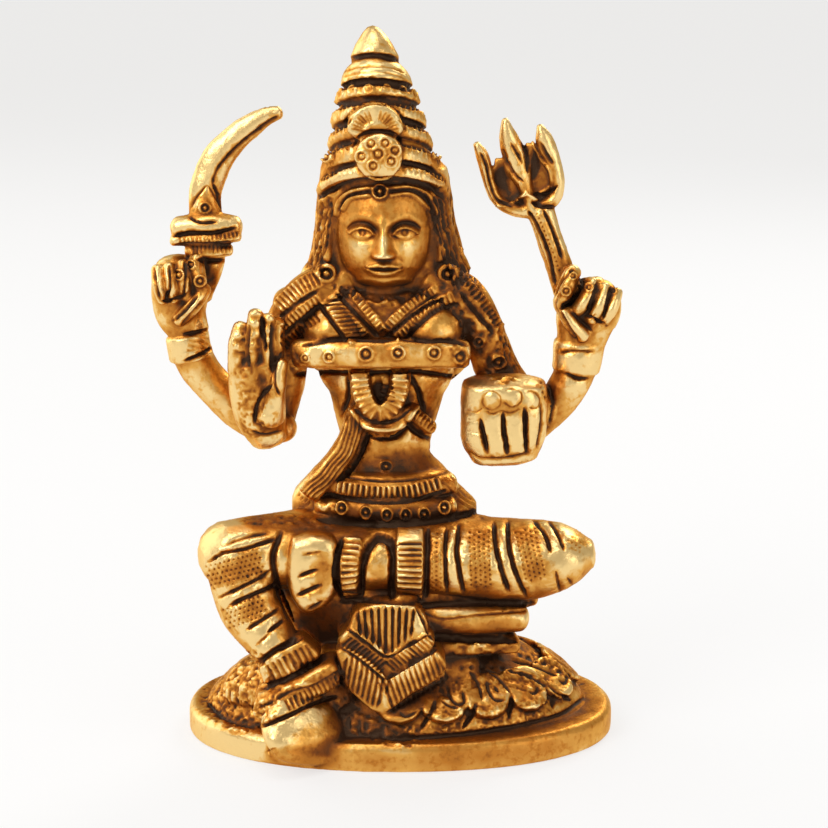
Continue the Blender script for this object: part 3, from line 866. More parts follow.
def makeTrident():
    root = (19.6, -0.2, 79.7, 1.2, 1.5)
    limb([(20.9, -0.2, 79.4, 2, 1.8), (22.2, -0.2, 75.3, 1.9, 1.8), (23.4, -0.2, 72.1, 1.95, 1.9), (24.9, -0.2, 68.0, 2.2, 2)], boxy=2.6)
    for stations in (
            [(11.3, -0.2, 89.4, 0.55, 0.9), (12.2, -0.2, 87.5, 1.0, 1.2), (13.1, -0.2, 84.5, 0.95, 1.3), (14.3, -0.2, 81.5, 0.95, 1.3),
             (16.8, -0.2, 79.9, 1.0, 1.3), root],
            [(15.4, -0.2, 92.9, 0.5, 0.9), (15.9, -0.2, 90.8, 1.3, 1.3), (16.7, -0.2, 88.2, 1.75, 1.6), (17.7, -0.2, 85.4, 1.65, 1.6),
             (18.6, -0.2, 82.8, 1.1, 1.4), root],
            [(20.5, -0.2, 92, 0.55, 0.9), (21.3, -0.2, 89.8, 1.35, 1.3), (22.7, -0.2, 86.4, 1.15, 1.3), (23.3, -0.2, 83.5, 1.0, 1.3),
             (22.4, -0.2, 81.1, 1.0, 1.3), root]):
        limb(stations, boxy=1.9, steps=30)
    for stations in ([(13.7, 0.2, 84.3, 3.2, 0.7), (18.2, 0.2, 83.8, 3.4, 0.7)], [(18.2, 0.3, 85.6, 4.1, 0.7), (22.6, 0.3, 85.2, 3.9, 0.7)]):
        strap(stations, ends=0.2)


bowl = {"x": 15.3, "y": -6.0, "foot": 43.2, "rim": 55.2, "halfWidth": 6.4, "halfDepth": 5.1}


bowlMarks = {
    "slotOne": ("groove", [(480, 420), (483, 436), (487, 453)], 0.52, 1.0),
    "slotTwo": ("groove", [(503, 414), (504, 432), (507, 453)], 0.46, 1.0),
    "slotThree": ("groove", [(525, 409), (526, 430), (527, 452)], 0.46, 1.0),
    "cellLine": ("groove", [(464, 412), (476, 412), (483, 408)], 0.16, 0.2, 0.5),
    "cellHigh": ("groove", [(466, 421), (478, 421)], 0.14, 0.18, 0.5),
    "cellLow": ("groove", [(467, 432), (479, 433)], 0.14, 0.18, 0.5),
    "roundOne": ("groove", [(483, 396), (491, 391), (500, 396), (500, 405), (491, 410), (483, 405), (483, 396)], 0.16, 0.2, 0.5),
    "roundTwo": ("groove", [(503, 392), (512, 388), (521, 393), (521, 402), (512, 407), (504, 403)], 0.16, 0.2, 0.5),
    "roundThree": ("groove", [(525, 391), (534, 392), (540, 400), (537, 408), (529, 408)], 0.16, 0.2, 0.5),
    "scallops": ("groove", [(485, 411), (493, 414), (501, 411), (511, 413), (520, 409)], 0.18, 0.22, 0.5),
    "sideFold": ("groove", [(541, 404), (541, 425), (537, 448)], 0.26, 0.4, 0.8),
    "foot": ("groove", [(467, 451), (480, 458), (505, 458), (530, 453)], 0.24, 0.3, 0.7),
    "wristGap": ("groove", [(548, 385), (553, 405), (550, 424)], 0.3, 0.5),
    "topPolish": ("worn", [(473, 385), (500, 380), (520, 385)], 1.6, 0.75),
    "leftPolish": ("worn", [(467, 398), (470, 440)], 0.9, 0.55),
    "fingerPolish": ("worn", [(494, 420), (496, 445)], 0.8, 0.45),
    "fingerPolishRight": ("worn", [(515, 420), (517, 445)], 0.7, 0.35),
}


def makeBowlHand():
    b, (x, y) = bowl, (bowl["x"], bowl["y"])
    limb([(x + 0.2, y, b["foot"] + 0.9, b["halfWidth"] - 1.4, b["halfDepth"] - 0.9), (x, y, b["foot"] + 4, b["halfWidth"] - 0.1, b["halfDepth"]),
          (x + 0.1, y, b["foot"] + 8, b["halfWidth"], b["halfDepth"]), (x + 0.1, y, b["rim"] - 0.6, b["halfWidth"] - 0.2, b["halfDepth"])],
         boxy=2.9, ends=0.3, sides=44)
    limb([(17.8, -3.4, 51.4, 3.4, 3.4), (20.8, -1.4, 50.2, 3.2, 3.4)])


# head, hair and crown

head = {"x": -2.3, "y": -1.5, "z": 76.3, "halfWidth": 7.4, "halfDepth": 7.0, "halfHeight": 8.4}
ear = {"left": (-10.9, -3.6, 70.9), "right": (7.2, -3.6, 70.9), "width": 3.1}
# the face is drawn by rule: thirds from hairline to chin, five eye widths across
face = {"chin": 68.9, "hairline": 83.9, "wide": 14.6, "front": -8.6}
headMarks = {
    "lockLeft": ("ridge", [(336, 214), (340, 201), (351, 192), (371, 188)], 0.5, 0.5),
    "lockLeftInner": ("ridge", [(343, 209), (350, 199), (369, 195)], 0.38, 0.35),
    "lockLeftGap": ("groove", [(339, 212), (345, 200), (356, 194), (370, 191.5)], 0.2, 0.3, 0.6),
    "lockRight": ("ridge", [(389, 188), (410, 187), (428, 195), (436, 214)], 0.5, 0.5),
    "lockRightInner": ("ridge", [(391, 195), (411, 194), (429, 209)], 0.38, 0.35),
    "lockRightGap": ("groove", [(390, 191.5), (410, 190.5), (425, 198), (433, 212)], 0.2, 0.3, 0.6),
    "hairStrandsLeft": ("strands", [(324, 203), (321, 235), (313, 268)], 1.6, 0.7, 0.34),
    "hairGrainLeft": ("rough", [(324, 203), (321, 235), (316, 262)], 1.7, 0.5, 0.2),
    "hairStrandsRight": ("strands", [(442, 200), (451, 240), (466, 285)], 2.1, 0.7, 0.34),
    "hairGrainRight": ("rough", [(442, 200), (451, 240), (470, 290)], 2.4, 0.5, 0.22),
    "shadeRight": ("stained", [(439, 205), (443, 240), (452, 275), (478, 310)], 2.0, 0.85),
    "shadeLeft": ("stained", [(333, 215), (329, 240), (335, 272)], 0.7, 0.7),
    "earringLeft": ("stud", (326.5, 273.5), 1.45, 0.35),
    "earringRight": ("stud", (447.5, 274), 1.45, 0.35),
    "browMark": ("stud", (380, 191.5), 1.25, 0.6),
}


def makeHead():
    x, y = head["x"], head["y"]
    limb([(x, y, 85, 6.2, 5.6), (x, y, 81, 7.2, 6.6), (x, y, 77, 7.4, 7.0), (x, y - 0.1, 74, 7.1, 6.9),
          (x, y - 0.4, 71.4, 6.1, 6.5), (x, y - 0.8, 69.8, 4.6, 5.7)], ends=0.3, sides=48, steps=40)
    for side, spot in ((-1, ear["left"]), (1, ear["right"])):
        limb([(x + side * 7.7, -2.6, 79, 0.8, 1.3), (x + side * 8.2, -3.0, 76, 0.9, 1.2), (x + side * 8.3, -3.2, 73, 0.7, 1.1)])
        egg((spot[0], spot[1] + 1.0, spot[2]), (1.5, 1.5, 1.5))
        row([(spot[0] - 0.1, spot[1] - 0.2, spot[2]), (spot[0] + 0.1, spot[1] - 0.2, spot[2])], [(0, -1, 0)] * 2,
            "circlet", 9, ear["width"], ear["width"], 0.8)


def sculptFace(c):
    # pushes the front of the head in and out, in millimetres from the chin and from the middle line
    f = face
    unit = (f["hairline"] - f["chin"]) / 15
    x, y, z = c.points.T
    part = np.nonzero((y < -3.2) & (abs(x - head["x"]) < f["wide"] / 2) & (z > f["chin"] - 1.6) & (z < f["hairline"] + 1))[0]
    across = np.abs(x[part] - head["x"]) / unit
    up = (z[part] - f["chin"]) / unit
    spots = np.stack([across, up], -1)

    def swell(height, at, half, power=2.0):
        return height * np.exp(-(np.abs((across - at[0]) / half[0]) ** power + np.abs((up - at[1]) / half[1]) ** power))

    def line(height, path, width):
        curve = spline(path, np.linspace(0, 1, 16))
        return height * np.exp(-(alongStroke(spots, curve)[0] * pixelsPerMm / width) ** 2)

    push = swell(-0.75, (2.9, 9.0), (2.3, 1.35)) + swell(0.25, (0, 12.2), (4.0, 2.0))
    push += line(0.3, [(0.8, 9.9), (2.2, 10.75), (3.8, 10.9), (5.6, 9.8)], 0.6)
    dome = 1 - ((across - 3.0) / 1.62) ** 2 - ((up - 8.65) / 0.78) ** 2
    push += 0.66 * np.sqrt(np.clip(dome, 0, 1)) + swell(-0.4, (3.05, 8.65), (0.4, 0.4)) + swell(0.24, (3.05, 8.65), (0.17, 0.17))
    push += line(0.62, [(1.3, 8.45), (2.0, 9.1), (3.05, 9.36), (4.1, 9.12), (4.95, 8.5)], 0.27)
    push += line(-0.26, [(1.4, 9.2), (2.1, 9.85), (3.1, 10.05), (4.3, 9.75), (5.2, 8.95)], 0.2)
    push += line(0.3, [(1.4, 8.5), (2.3, 7.92), (3.1, 7.78), (4.1, 7.95), (4.85, 8.45)], 0.22)
    bridge = np.clip((10.4 - up) / 4.8, 0, 1)
    under = np.clip((up - 4.75) / 0.6, 0, 1)
    nose = (0.35 + 1.75 * bridge ** 1.2) * np.exp(-(across / (0.78 + 0.5 * bridge ** 2)) ** 2.4)
    push += nose * np.where(up > 10.4, np.exp(-((up - 10.4) / 0.8) ** 2), under * under * (3 - 2 * under))
    push += swell(0.75, (1.15, 5.45), (0.6, 0.55)) + swell(0.25, (0, 5.8), (0.9, 0.7))
    push += swell(0.65, (0, 3.3), (2.9, 1.7)) + swell(-0.14, (0, 4.55), (0.3, 0.4))
    push += line(0.42, [(0, 3.95), (0.7, 4.05), (1.5, 3.8), (2.4, 3.45)], 0.42)
    push += line(0.5, [(0, 2.72), (1.0, 2.78), (1.8, 3.05), (2.3, 3.4)], 0.48)
    push += line(-0.5, [(0, 3.38), (1.2, 3.42), (2.6, 3.52)], 0.2)
    push += swell(-0.3, (0, 2.0), (1.7, 0.35)) + swell(0.6, (0, 0.9), (1.9, 1.0))
    push += swell(0.36, (4.0, 6.2), (1.8, 2.4)) + line(-0.14, [(1.7, 5.3), (2.6, 4.4), (3.0, 3.5)], 0.35)
    rim = np.clip((f["wide"] / 2 / unit - across) / 1.2, 0, 1)
    c.push[part, 1] -= push * rim * unit
    creases = line(1, [(0, 3.38), (1.2, 3.42), (2.6, 3.52)], 0.25)
    creases += line(0.5, [(1.35, 8.8), (2.1, 9.6), (3.1, 9.85), (4.2, 9.55), (5.0, 8.8)], 0.2)
    creases += line(0.6, [(1.4, 8.45), (2.3, 7.75), (3.2, 7.6), (4.1, 7.8), (4.8, 8.4)], 0.2)
    creases += swell(0.7, (0.75, 4.85), (0.45, 0.25)) + swell(0.5, (1.75, 5.5), (0.25, 0.6))
    ring = np.hypot(across - 3.05, up - 8.7)
    creases += 0.9 * np.exp(-((ring - 0.46) / 0.18) ** 2) * (up < 9) \
        + line(1.2, [(1.45, 8.55), (2.2, 9.0), (3.05, 9.14), (4.0, 8.95), (4.75, 8.5)], 0.18)
    c.dark[part] = np.maximum(c.dark[part], np.clip(creases, 0, 1.2) * 0.75 * rim)
    c.polish[part] = np.maximum(c.polish[part], np.clip(swell(0.8, (3.6, 6.4), (1.8, 2.0)) + swell(0.7, (0, 6.5), (0.6, 2.5))
                                                    + swell(0.5, (0, 1.0), (1.8, 0.9)), 0, 0.8))


def makeVeil():
    limb([(head["x"] + 0.1, 2.4, 84, 9.6, 5.6), (-2.2, 2.8, 77, 10.6, 5.6), (-2, 3.2, 71.2, 11.9, 5.2), (-2.4, 3.4, 66, 13.2, 4.6),
          (-1.9, 3.8, 56.8, 12.6, 4), (-2.1, 4.6, 51, 6.6, 3.2), (-2.2, 4.4, 42, 5.4, 2.6)], boxy=2.2, sides=48, steps=40)
    # hair beside the face
    limb([(head["x"], 0.2, 84.6, 9.5, 5.6), (-2.3, 0.4, 79, 9.9, 5.6), (-2.1, 0.6, 73.5, 10.8, 5.4), (-1.6, 0.8, 69.6, 12.2, 5)],
         boxy=2.5, sides=48, steps=24)


crown = {"foot": 80.0, "leanX": -0.062, "leanY": 0.15, "lift": 0.85, "rise": 0.165, "highest": 101.5, "tip": 106.4,
         "tiers": [(5.3, 97.7), (6.15, 94.9), (7.0, 91.6), (7.6, 88.3), (9.0, 84.5), (9.7, 81.7)],
         "ribbed": {2: 0.9, 3: 0.95, 4: 0.9, 5: 0.95}, "circled": {1: 1.9}, "groove": 0.65}
palmette = {"front": -8.4, "foot": (375, 133), "ticks": (170, 160, 150, 140, 130, 118, 106, 74, 62, 50, 40, 30, 20, 10), "near": 11, "far": 25,
            "outline": [(347, 132), (349, 119), (359, 109), (374, 104), (389, 108), (399, 118), (403, 131), (390, 140), (374, 142),
                        (358, 140)]}
disc = {"centre": (-2.9, -9.6, 88.6), "radius": 3.35, "circlets": [(378, 154), (371, 143.5), (385, 143), (395, 150.5), (391, 161.5),
        (373, 166), (361.5, 156.5)], "circletRadius": 1.1}
crownMarks = {
    "domeEdge": ("groove", [(348, 60), (360, 56.5), (372, 55), (385, 56.5), (398, 60)], 0.5, 0.55),
    "lineHigh": ("groove", [(344, 71), (358, 67), (375, 66), (392, 68), (404, 73)], 0.17, 0.16, 0.5),
    "lineLow": ("groove", [(343, 77), (358, 73), (375, 72), (393, 74), (406, 79)], 0.15, 0.12, 0.4),
    "tierTwoEdge": ("groove", [(339, 89), (352, 84), (372, 81.5), (392, 84), (411, 90)], 0.6, 0.5),
    "tierThreeEdge": ("groove", [(336, 109), (350, 104), (372, 101), (395, 103), (419, 109)], 0.5, 0.4),
    "tierFourEdge": ("groove", [(398, 120), (410, 123), (426, 131)], 0.55, 0.5),
    "tierFourEdgeLeft": ("groove", [(331, 134), (345, 124), (353, 117)], 0.45, 0.4),
    "tierFiveEdge": ("groove", [(402, 144.5), (415, 147), (433, 153)], 0.35, 0.35),
    "tierFiveEdgeLeft": ("groove", [(328, 155), (342, 146), (353, 142)], 0.3, 0.3),
    "tierSixEdge": ("groove", [(402, 162), (425, 168), (445, 181)], 0.4, 0.45),
    "tierSixEdgeLeft": ("groove", [(321, 180), (338, 170), (355, 164)], 0.36, 0.4),
    "brimEdge": ("groove", [(317, 199), (330, 191), (345, 184.5), (362, 180), (380, 179), (398, 179.5), (416, 182.5), (432, 189),
                            (444, 199)], 0.42, 0.6),
    "palmetteRim": ("groove", [(345, 133), (347, 118), (358, 107.5), (374, 102.5), (390, 106.5), (401, 117), (405, 131)], 0.3, 0.3),
    "palmetteFoot": ("groove", [(354, 145), (360, 136), (368, 132), (378, 131), (388, 132), (396, 136), (402, 145)], 0.32, 0.6),
    "sideKnobLeft": ("stud", (327, 157), 0.9, 0.5),
    "sideKnobRight": ("stud", (437, 154), 0.9, 0.5),
    "domeShade": ("stained", [(372, 32), (372, 50)], 3.0, 0.16),
    "tierTwoPolish": ("worn", [(352, 70), (394, 71)], 1.1, 0.12),
    "tierThreePolish": ("worn", [(345, 94), (395, 93)], 0.7, 0.3),
    "palmettePolish": ("worn", [(361, 121), (375, 115), (389, 121)], 1.9, 0.85),
    "discPolish": ("worn", [(376, 154), (381, 154)], 3.0, 0.85),
    "brimPolish": ("worn", [(326, 186), (352, 172)], 0.8, 0.45),
}


def crownPlace(r, z, c, s):
    # a point of the crown: its rings rise at the front and its axis leans
    q = crown
    frontal = np.maximum(0, -s) * np.minimum(1, r / 3)
    lift = (q["lift"] + (q["highest"] - np.minimum(z, q["highest"])) * q["rise"]) * frontal
    return np.stack([head["x"] + r * c + q["leanX"] * (z - q["foot"]), r * s * 0.95 + q["leanY"] * (z - q["foot"]), z + lift], -1)


def makeCrown():
    q = crown
    profile = [(0.02, q["tip"]), (0.8, q["tip"] - 0.25), (1.6, q["tip"] - 1.1), (2.7, 103.8), (3.6, 101.9), (3.5, 101.5)]
    lastR, lastZ = 3.0, 101.1
    for r, z in q["tiers"]:
        # each tier swells out and tucks in above the next one
        for t in (0.05, 0.2, 0.4, 0.6, 0.8, 0.94, 1.0):
            profile.append((mix(lastR, r, t ** 0.55) + math.sin(math.pi * min(1, t * 1.02)) * 0.3, mix(lastZ, z, t)))
        profile.append((r - q["groove"], z - 0.1))
        lastR, lastZ = r - q["groove"], z - 0.55
    profile.append((0.02, q["foot"] - 0.6))
    turns = np.linspace(0, 2 * math.pi, 96, endpoint=False)
    rows = np.array(profile[::-1])
    rings = np.stack([crownPlace(np.full(96, r), np.full(96, z), np.cos(turns), np.sin(turns)) for r, z in rows])
    shells.append(skin(rings))
    upperR, upperZ = 3.0, 101.1
    for i, (r, z) in enumerate(q["tiers"]):
        middleR, middleZ, tall = mix(upperR, r, 0.68) + 0.22, mix(upperZ, z, 0.5), upperZ - z

        def place(turn, at=middleR, up=middleZ):
            c, s = math.cos(turn), math.sin(turn)
            return crownPlace(at, up, c, s), np.array([c, s, 0.28])

        path, outward = arc(0, 2 * math.pi, 120, place)
        if i in q["ribbed"]:
            row(path, outward, "rib", q["ribbed"][i], q["ribbed"][i] * 0.62, tall * 0.55, 0.3)
        if i in q["circled"]:
            row(path, outward, "circlet", q["circled"][i] * 1.3, q["circled"][i], q["circled"][i], 0.42)
        upperR, upperZ = r - q["groove"], z - 0.55
    # fan palmette and the disc in front of the crown
    slab(palmette["outline"], palmette["front"], 4, 0.5)
    (dx, dy, dz), radius = disc["centre"], disc["radius"]
    limb([(dx, dy, dz, radius, radius), (dx, dy + 3.6, dz, radius, radius)], deep=(0, 0, 1), ends=0.12, sides=40, steps=4)


# The casting: one closed mesh

def coordinates(mesh):
    made = np.empty(len(mesh.vertices) * 3)
    mesh.vertices.foreach_get("co", made)
    return made.reshape(-1, 3)


def normals(mesh):
    made = np.empty(len(mesh.vertices) * 3)
    mesh.vertex_normals.foreach_get("vector", made)
    return made.reshape(-1, 3)


def edgePairs(mesh):
    made = np.empty(len(mesh.edges) * 2, np.int64)
    mesh.edges.foreach_get("vertices", made)
    return made.reshape(-1, 2)


def neighbourMean(values, pairs, share):
    # mean of each vertex's neighbours
    values = values if values.ndim == 2 else values[:, None]
    made = np.empty_like(values)
    for k in range(values.shape[1]):
        total = np.bincount(pairs[:, 0], values[pairs[:, 1], k], len(values))
        total += np.bincount(pairs[:, 1], values[pairs[:, 0], k], len(values))
        made[:, k] = total / share
    return made


def castTogether():
    # all shells in one object, then one skin over them
    points, faces, start = [], [], 0
    for some, corners in shells:
        points.append(some)
        faces += [tuple(i + start for i in f) for f in corners]
        start += len(some)
    thing = meshObject("idol_cast", np.vstack(points), faces)
    remesh = thing.modifiers.new("oneSkin", "REMESH")
    remesh.mode = "VOXEL"
    remesh.voxel_size = fineness["voxel"]
    remesh.use_smooth_shade = True
    mesh = bpy.data.meshes.new_from_object(thing.evaluated_get(bpy.context.evaluated_depsgraph_get()))
    thing.modifiers.clear()
    old, thing.data = thing.data, mesh
    bpy.data.meshes.remove(old)
    pairs = edgePairs(mesh)
    share = np.maximum(np.bincount(pairs.ravel(), minlength=len(mesh.vertices)), 1)
    points = coordinates(mesh)
    for _ in range(fineness["smoothing"]):
        points += 0.5 * (neighbourMean(points, pairs, share) - points)
    points[:, 2] = np.where(points[:, 2] < 0.25, np.maximum(points[:, 2], 0), points[:, 2])
    mesh.vertices.foreach_set("co", points.ravel())
    mesh.update()
    return thing


# Carving: strokes are drawn as the figure is seen from the front, in pixels of the picture

def seenFromFront(points):
    # pixel and distance of each point
    e = math.radians(view["elevation"])
    ahead, up = np.array([0, math.cos(e), -math.sin(e)]), np.array([0, math.sin(e), math.cos(e)])
    eye = np.array(view["target"]) - ahead * view["distance"]
    far = (points - eye) @ ahead
    focal = pixelsPerMm * view["distance"]
    return np.stack([centre + focal * (points[:, 0] - eye[0]) / far, centre - focal * ((points - eye) @ up) / far], -1), far


def alongStroke(spots, stroke):
    # distance from the stroke, run along it, signed side of it and run beyond its ends, in mm
    best, beyond = np.full(len(spots), 1e9), np.zeros(len(spots))
    run, side, start = np.zeros(len(spots)), np.zeros(len(spots)), 0.0
    last = len(stroke) - 2
    for i, (a, b) in enumerate(zip(stroke[:-1], stroke[1:])):
        step = b - a
        length = max(np.linalg.norm(step), 1e-6)
        free = (spots - a) @ step / length ** 2
        t = np.clip(free, 0, 1)
        gap = spots - a - t[:, None] * step
        away = np.hypot(gap[:, 0], gap[:, 1])
        nearer = away < best
        best = np.where(nearer, away, best)
        run = np.where(nearer, start + t * length, run)
        side = np.where(nearer, (step[0] * gap[:, 1] - step[1] * gap[:, 0]) / length, side)
        over = np.where((free < 0) & (i == 0), -free, np.where((free > 1) & (i == last), free - 1, 0)) * length
        beyond = np.where(nearer, over, beyond)
        start += length
    return best / pixelsPerMm, run / pixelsPerMm, side / pixelsPerMm, beyond / pixelsPerMm


class Carver:
    def __init__(self, thing):
        self.points = coordinates(thing.data)
        self.outward = normals(thing.data)
        self.seen, far = seenFromFront(self.points)
        e = math.radians(view["elevation"])
        facing = self.outward @ np.array([0, -math.cos(e), math.sin(e)])
        # what the camera sees: the nearest surface in each small cell of the picture
        cell = np.clip((self.seen / 2.5).astype(int), 0, 399)
        cell = cell[:, 0] * 400 + cell[:, 1]
        nearest = np.full(160000, 1e9)
        np.minimum.at(nearest, cell, far)
        self.visible = (far < nearest[cell] + 1.6) & (facing > 0.05)
        self.fade = np.clip((facing - 0.05) / 0.2, 0, 1)
        self.offset, self.dark, self.polish = (np.zeros(len(self.points)) for _ in range(3))
        self.push = np.zeros((len(self.points), 3))

    def near(self, path, reach):
        # the visible vertices round a stroke, and where they lie along it
        line = np.asarray(path, float)
        line = line if line.ndim == 2 else np.array([line, line + 0.01])
        if len(line) > 2:
            line = spline(line, np.linspace(0, 1, 8 * len(line)))
        low, high = line.min(0) - reach * pixelsPerMm, line.max(0) + reach * pixelsPerMm
        pick = np.nonzero(self.visible & (self.seen > low).all(1) & (self.seen < high).all(1))[0]
        return pick, alongStroke(self.seen[pick], line)

    def shade(self, pick, values):
        self.dark[pick] = np.maximum(self.dark[pick], np.clip(values, 0, 1))

    def groove(self, path, width, depth, dark=1.0):
        # cut with an uneven edge that runs out at both ends
        pick, (away, run, _, _) = self.near(path, width * 1.8)
        if not len(pick):
            return
        toEnd = np.minimum(run, run.max() - run) / (3.2 * width)
        strong = np.clip(0.35 + toEnd, 0, 1) * (0.7 + 0.6 * lumps(self.points[pick], 0.8, 5))
        across = away / (width * np.sqrt(strong))
        self.offset[pick] -= depth * strong * np.clip(1 - across ** 2, 0, 1)
        self.shade(pick, dark * np.clip(1.25 - across, 0, 1) * np.clip(strong * 1.3, 0, 1))

    def ridge(self, path, width, height):
        pick, (away, _, _, _) = self.near(path, width * 1.6)
        self.offset[pick] += height * np.clip(1 - (away / width) ** 2, 0, 1)
        self.shade(pick, 0.5 * np.clip(1 - np.abs(away / width - 1.15) / 0.35, 0, 1))

    def band(self, path, half, height):
        # flat raised band with a dark line along each side
        pick, (away, _, _, beyond) = self.near(path, half + 0.5)
        inside = np.clip(1 - beyond / 0.25, 0, 1)
        self.offset[pick] += height * np.clip((half - away) / 0.28 + 0.5, 0, 1) * inside
        self.shade(pick, 0.75 * np.clip(1 - np.abs(away - half - 0.12) / 0.26, 0, 1) * inside)

    def ribs(self, path, half, pitch, depth, slant=0.0):
        # ribs across a stroke
        pick, (away, run, side, beyond) = self.near(path, half)
        wave = (0.5 - 0.5 * np.cos(2 * math.pi * (run + side * slant) / pitch)) ** 1.3
        inside = np.clip((half - away) / 0.2, 0, 1) * np.clip(1 - beyond / 0.2, 0, 1)
        self.offset[pick] -= depth * wave * inside
        self.shade(pick, 0.52 * wave ** 1.5 * inside)

    def strands(self, path, half, pitch, depth):
        # lines that run along a stroke
        pick, (away, run, side, beyond) = self.near(path, half)
        wave = (0.5 - 0.5 * np.cos(2 * math.pi * (side + 0.12 * np.sin(run * 1.3)) / pitch)) ** 1.3
        inside = np.clip((half - away) / 0.3, 0, 1) * np.clip(1 - beyond / 0.4, 0, 1)
        self.offset[pick] -= depth * wave * inside
        self.shade(pick, 0.55 * wave ** 1.5 * inside)

    def pits(self, path, half, pitch, depth):
        # rows of small pits along a stroke, every second row set over by half
        pick, (away, run, side, beyond) = self.near(path, half)
        level = np.round(side / pitch)
        u = run / pitch + 0.5 * (level % 2)
        pit = np.clip(1 - (np.hypot(u - np.round(u), side / pitch - level) / 0.3) ** 2, 0, 1)
        inside = np.clip((half - away) / 0.3, 0, 1) * np.clip(1 - beyond / 0.3, 0, 1)
        self.offset[pick] -= depth * pit * inside
        self.shade(pick, 0.85 * pit * inside)

    def rough(self, path, half, size, depth):
        # stippled ground
        pick, (away, _, _, _) = self.near(path, half)
        inside = np.clip((half - away) / 0.5, 0, 1)
        value = lumps(self.points[pick], size, 11) * 2 - 1
        self.offset[pick] += depth * value * inside
        self.shade(pick, (0.35 - 1.1 * value) * inside)

    def stud(self, spot, radius, height):
        # ringed boss in a dark hollow
        pick, (away, _, _, _) = self.near(spot, radius * 1.5)
        r = away / radius
        ring, boss = np.clip(1 - ((r - 0.8) / 0.24) ** 2, 0, 1), np.clip(1 - (r / 0.42) ** 2, 0, 1)
        self.offset[pick] += height * (ring + boss - 0.7 * np.clip(1 - np.abs(r - 0.52) / 0.2, 0, 1))
        self.shade(pick, 0.9 * np.clip(1 - np.abs(r - 0.53) / 0.17, 0, 1) + 0.7 * np.clip(1 - np.abs(r - 1.13) / 0.2, 0, 1))

    def worn(self, path, half, amount):
        pick, (away, _, _, _) = self.near(path, half * 1.6)
        self.polish[pick] = np.maximum(self.polish[pick], amount * np.clip(1.6 - away / half, 0, 1))

    def stained(self, path, half, amount):
        pick, (away, _, _, _) = self.near(path, half * 1.5)
        self.dark[pick] = np.maximum(self.dark[pick], amount * np.clip(1.5 - away / half, 0, 1))

    def mark(self, marks):
        for kind, *values in marks.values():
            getattr(self, kind)(*values)


unevenness = {"broad": 0.2, "fine": 0.11}


def lumps(points, size, seed):
    # smooth noise from 0 to 1
    grid = np.random.default_rng(seed).random((64, 64, 64))
    at = points / size
    low = np.floor(at).astype(int)
    t = at - low
    t = t * t * (3 - 2 * t)
    value = np.zeros(len(points))
    for k in range(8):
        corner = np.array([k & 1, k >> 1 & 1, k >> 2 & 1])
        value += np.prod(np.where(corner, t, 1 - t), axis=1) * grid[tuple(((low + corner) % 64).T)]
    return value


def carve(thing):
    c = Carver(thing)
    x, y, z = c.points.T
    sculptFace(c)
    for turn in palmette["ticks"]:
        a = np.array([math.cos(math.radians(turn)), -math.sin(math.radians(turn))])
        foot = np.array([palmette["foot"]])
        crownMarks["tick%d" % turn] = ("groove", np.vstack([foot + a * palmette["near"], foot + a * palmette["far"]]), 0.2, 0.25, 0.45)
    for i, spot in enumerate(disc["circlets"]):
        crownMarks["circlet%d" % i] = ("stud", spot, disc["circletRadius"] * (1.1 if i == 0 else 0.95), 0.22)
    for i in range(pleats["lines"]):
        # pleats fall from the top of the fan to its pointed foot
        top = mix(pleats["firstLine"], pleats["lastLine"], i / (pleats["lines"] - 1))
        foot = mix(top, pleats["tip"][0], 0.12)
        drop = pleats["tip"][1] - abs(foot - pleats["tip"][0]) * 0.72
        pleatMarks["pleat%d" % i] = ("groove", [(top, 606 + 0.12 * abs(top - 388)), (foot, drop)], 0.27, 0.5, 0.75)
    for i, spot in enumerate(belt["studs"]):
        beltMarks["stud%d" % i] = ("stud", spot, belt["studRadius"], 0.5)
    for marks in (crownMarks, headMarks, chestMarks, beltMarks, lapMarks, thighMarks, legMarks, pleatMarks, petalMarks,
                  swordMarks, fistMarks, handMarks, tridentMarks, bowlMarks):
        c.mark(marks)
    print("marks carved, visible vertices", int(c.visible.sum()))
    # long strands down the back of the veil
    behind = (y > 2.5) & (z > 37) & (z < 84) & (c.outward[:, 1] > 0.1)
    strands = np.abs(np.sin((x + 2.3 + 0.35 * np.sin(z * 0.35 + x)) * math.pi / 1.5))
    deep = np.where(behind, (1 - strands) ** 2 * np.clip((z - 37) / 3, 0, 1), 0)
    c.offset -= 0.42 * deep
    c.dark = np.maximum(c.dark, 0.6 * deep)
    # hand-worked unevenness, least on the plinth and the face
    calm = np.clip((z - 4.4) / 0.6, 0.3, 1) * np.where((y < -5) & (z > face["chin"]) & (z < face["hairline"]), 0.35, 1)
    c.offset += calm * (unevenness["broad"] * (lumps(c.points, 2.4, 21) - 0.5) + unevenness["fine"] * (lumps(c.points, 0.8, 22) - 0.5))
    mesh = thing.data
    moved = c.points + c.outward * (c.offset * np.where(c.visible, c.fade, 1))[:, None] + c.push
    moved[:, 2] = np.maximum(moved[:, 2], 0)
    mesh.vertices.foreach_set("co", moved.ravel())
    mesh.update()
    for name, values in (("carved", c.dark), ("worn", c.polish)):
        layer = mesh.attributes.new(name, "FLOAT", "POINT")
        layer.data.foreach_set("value", np.clip(values, 0, 1).astype(np.float32))


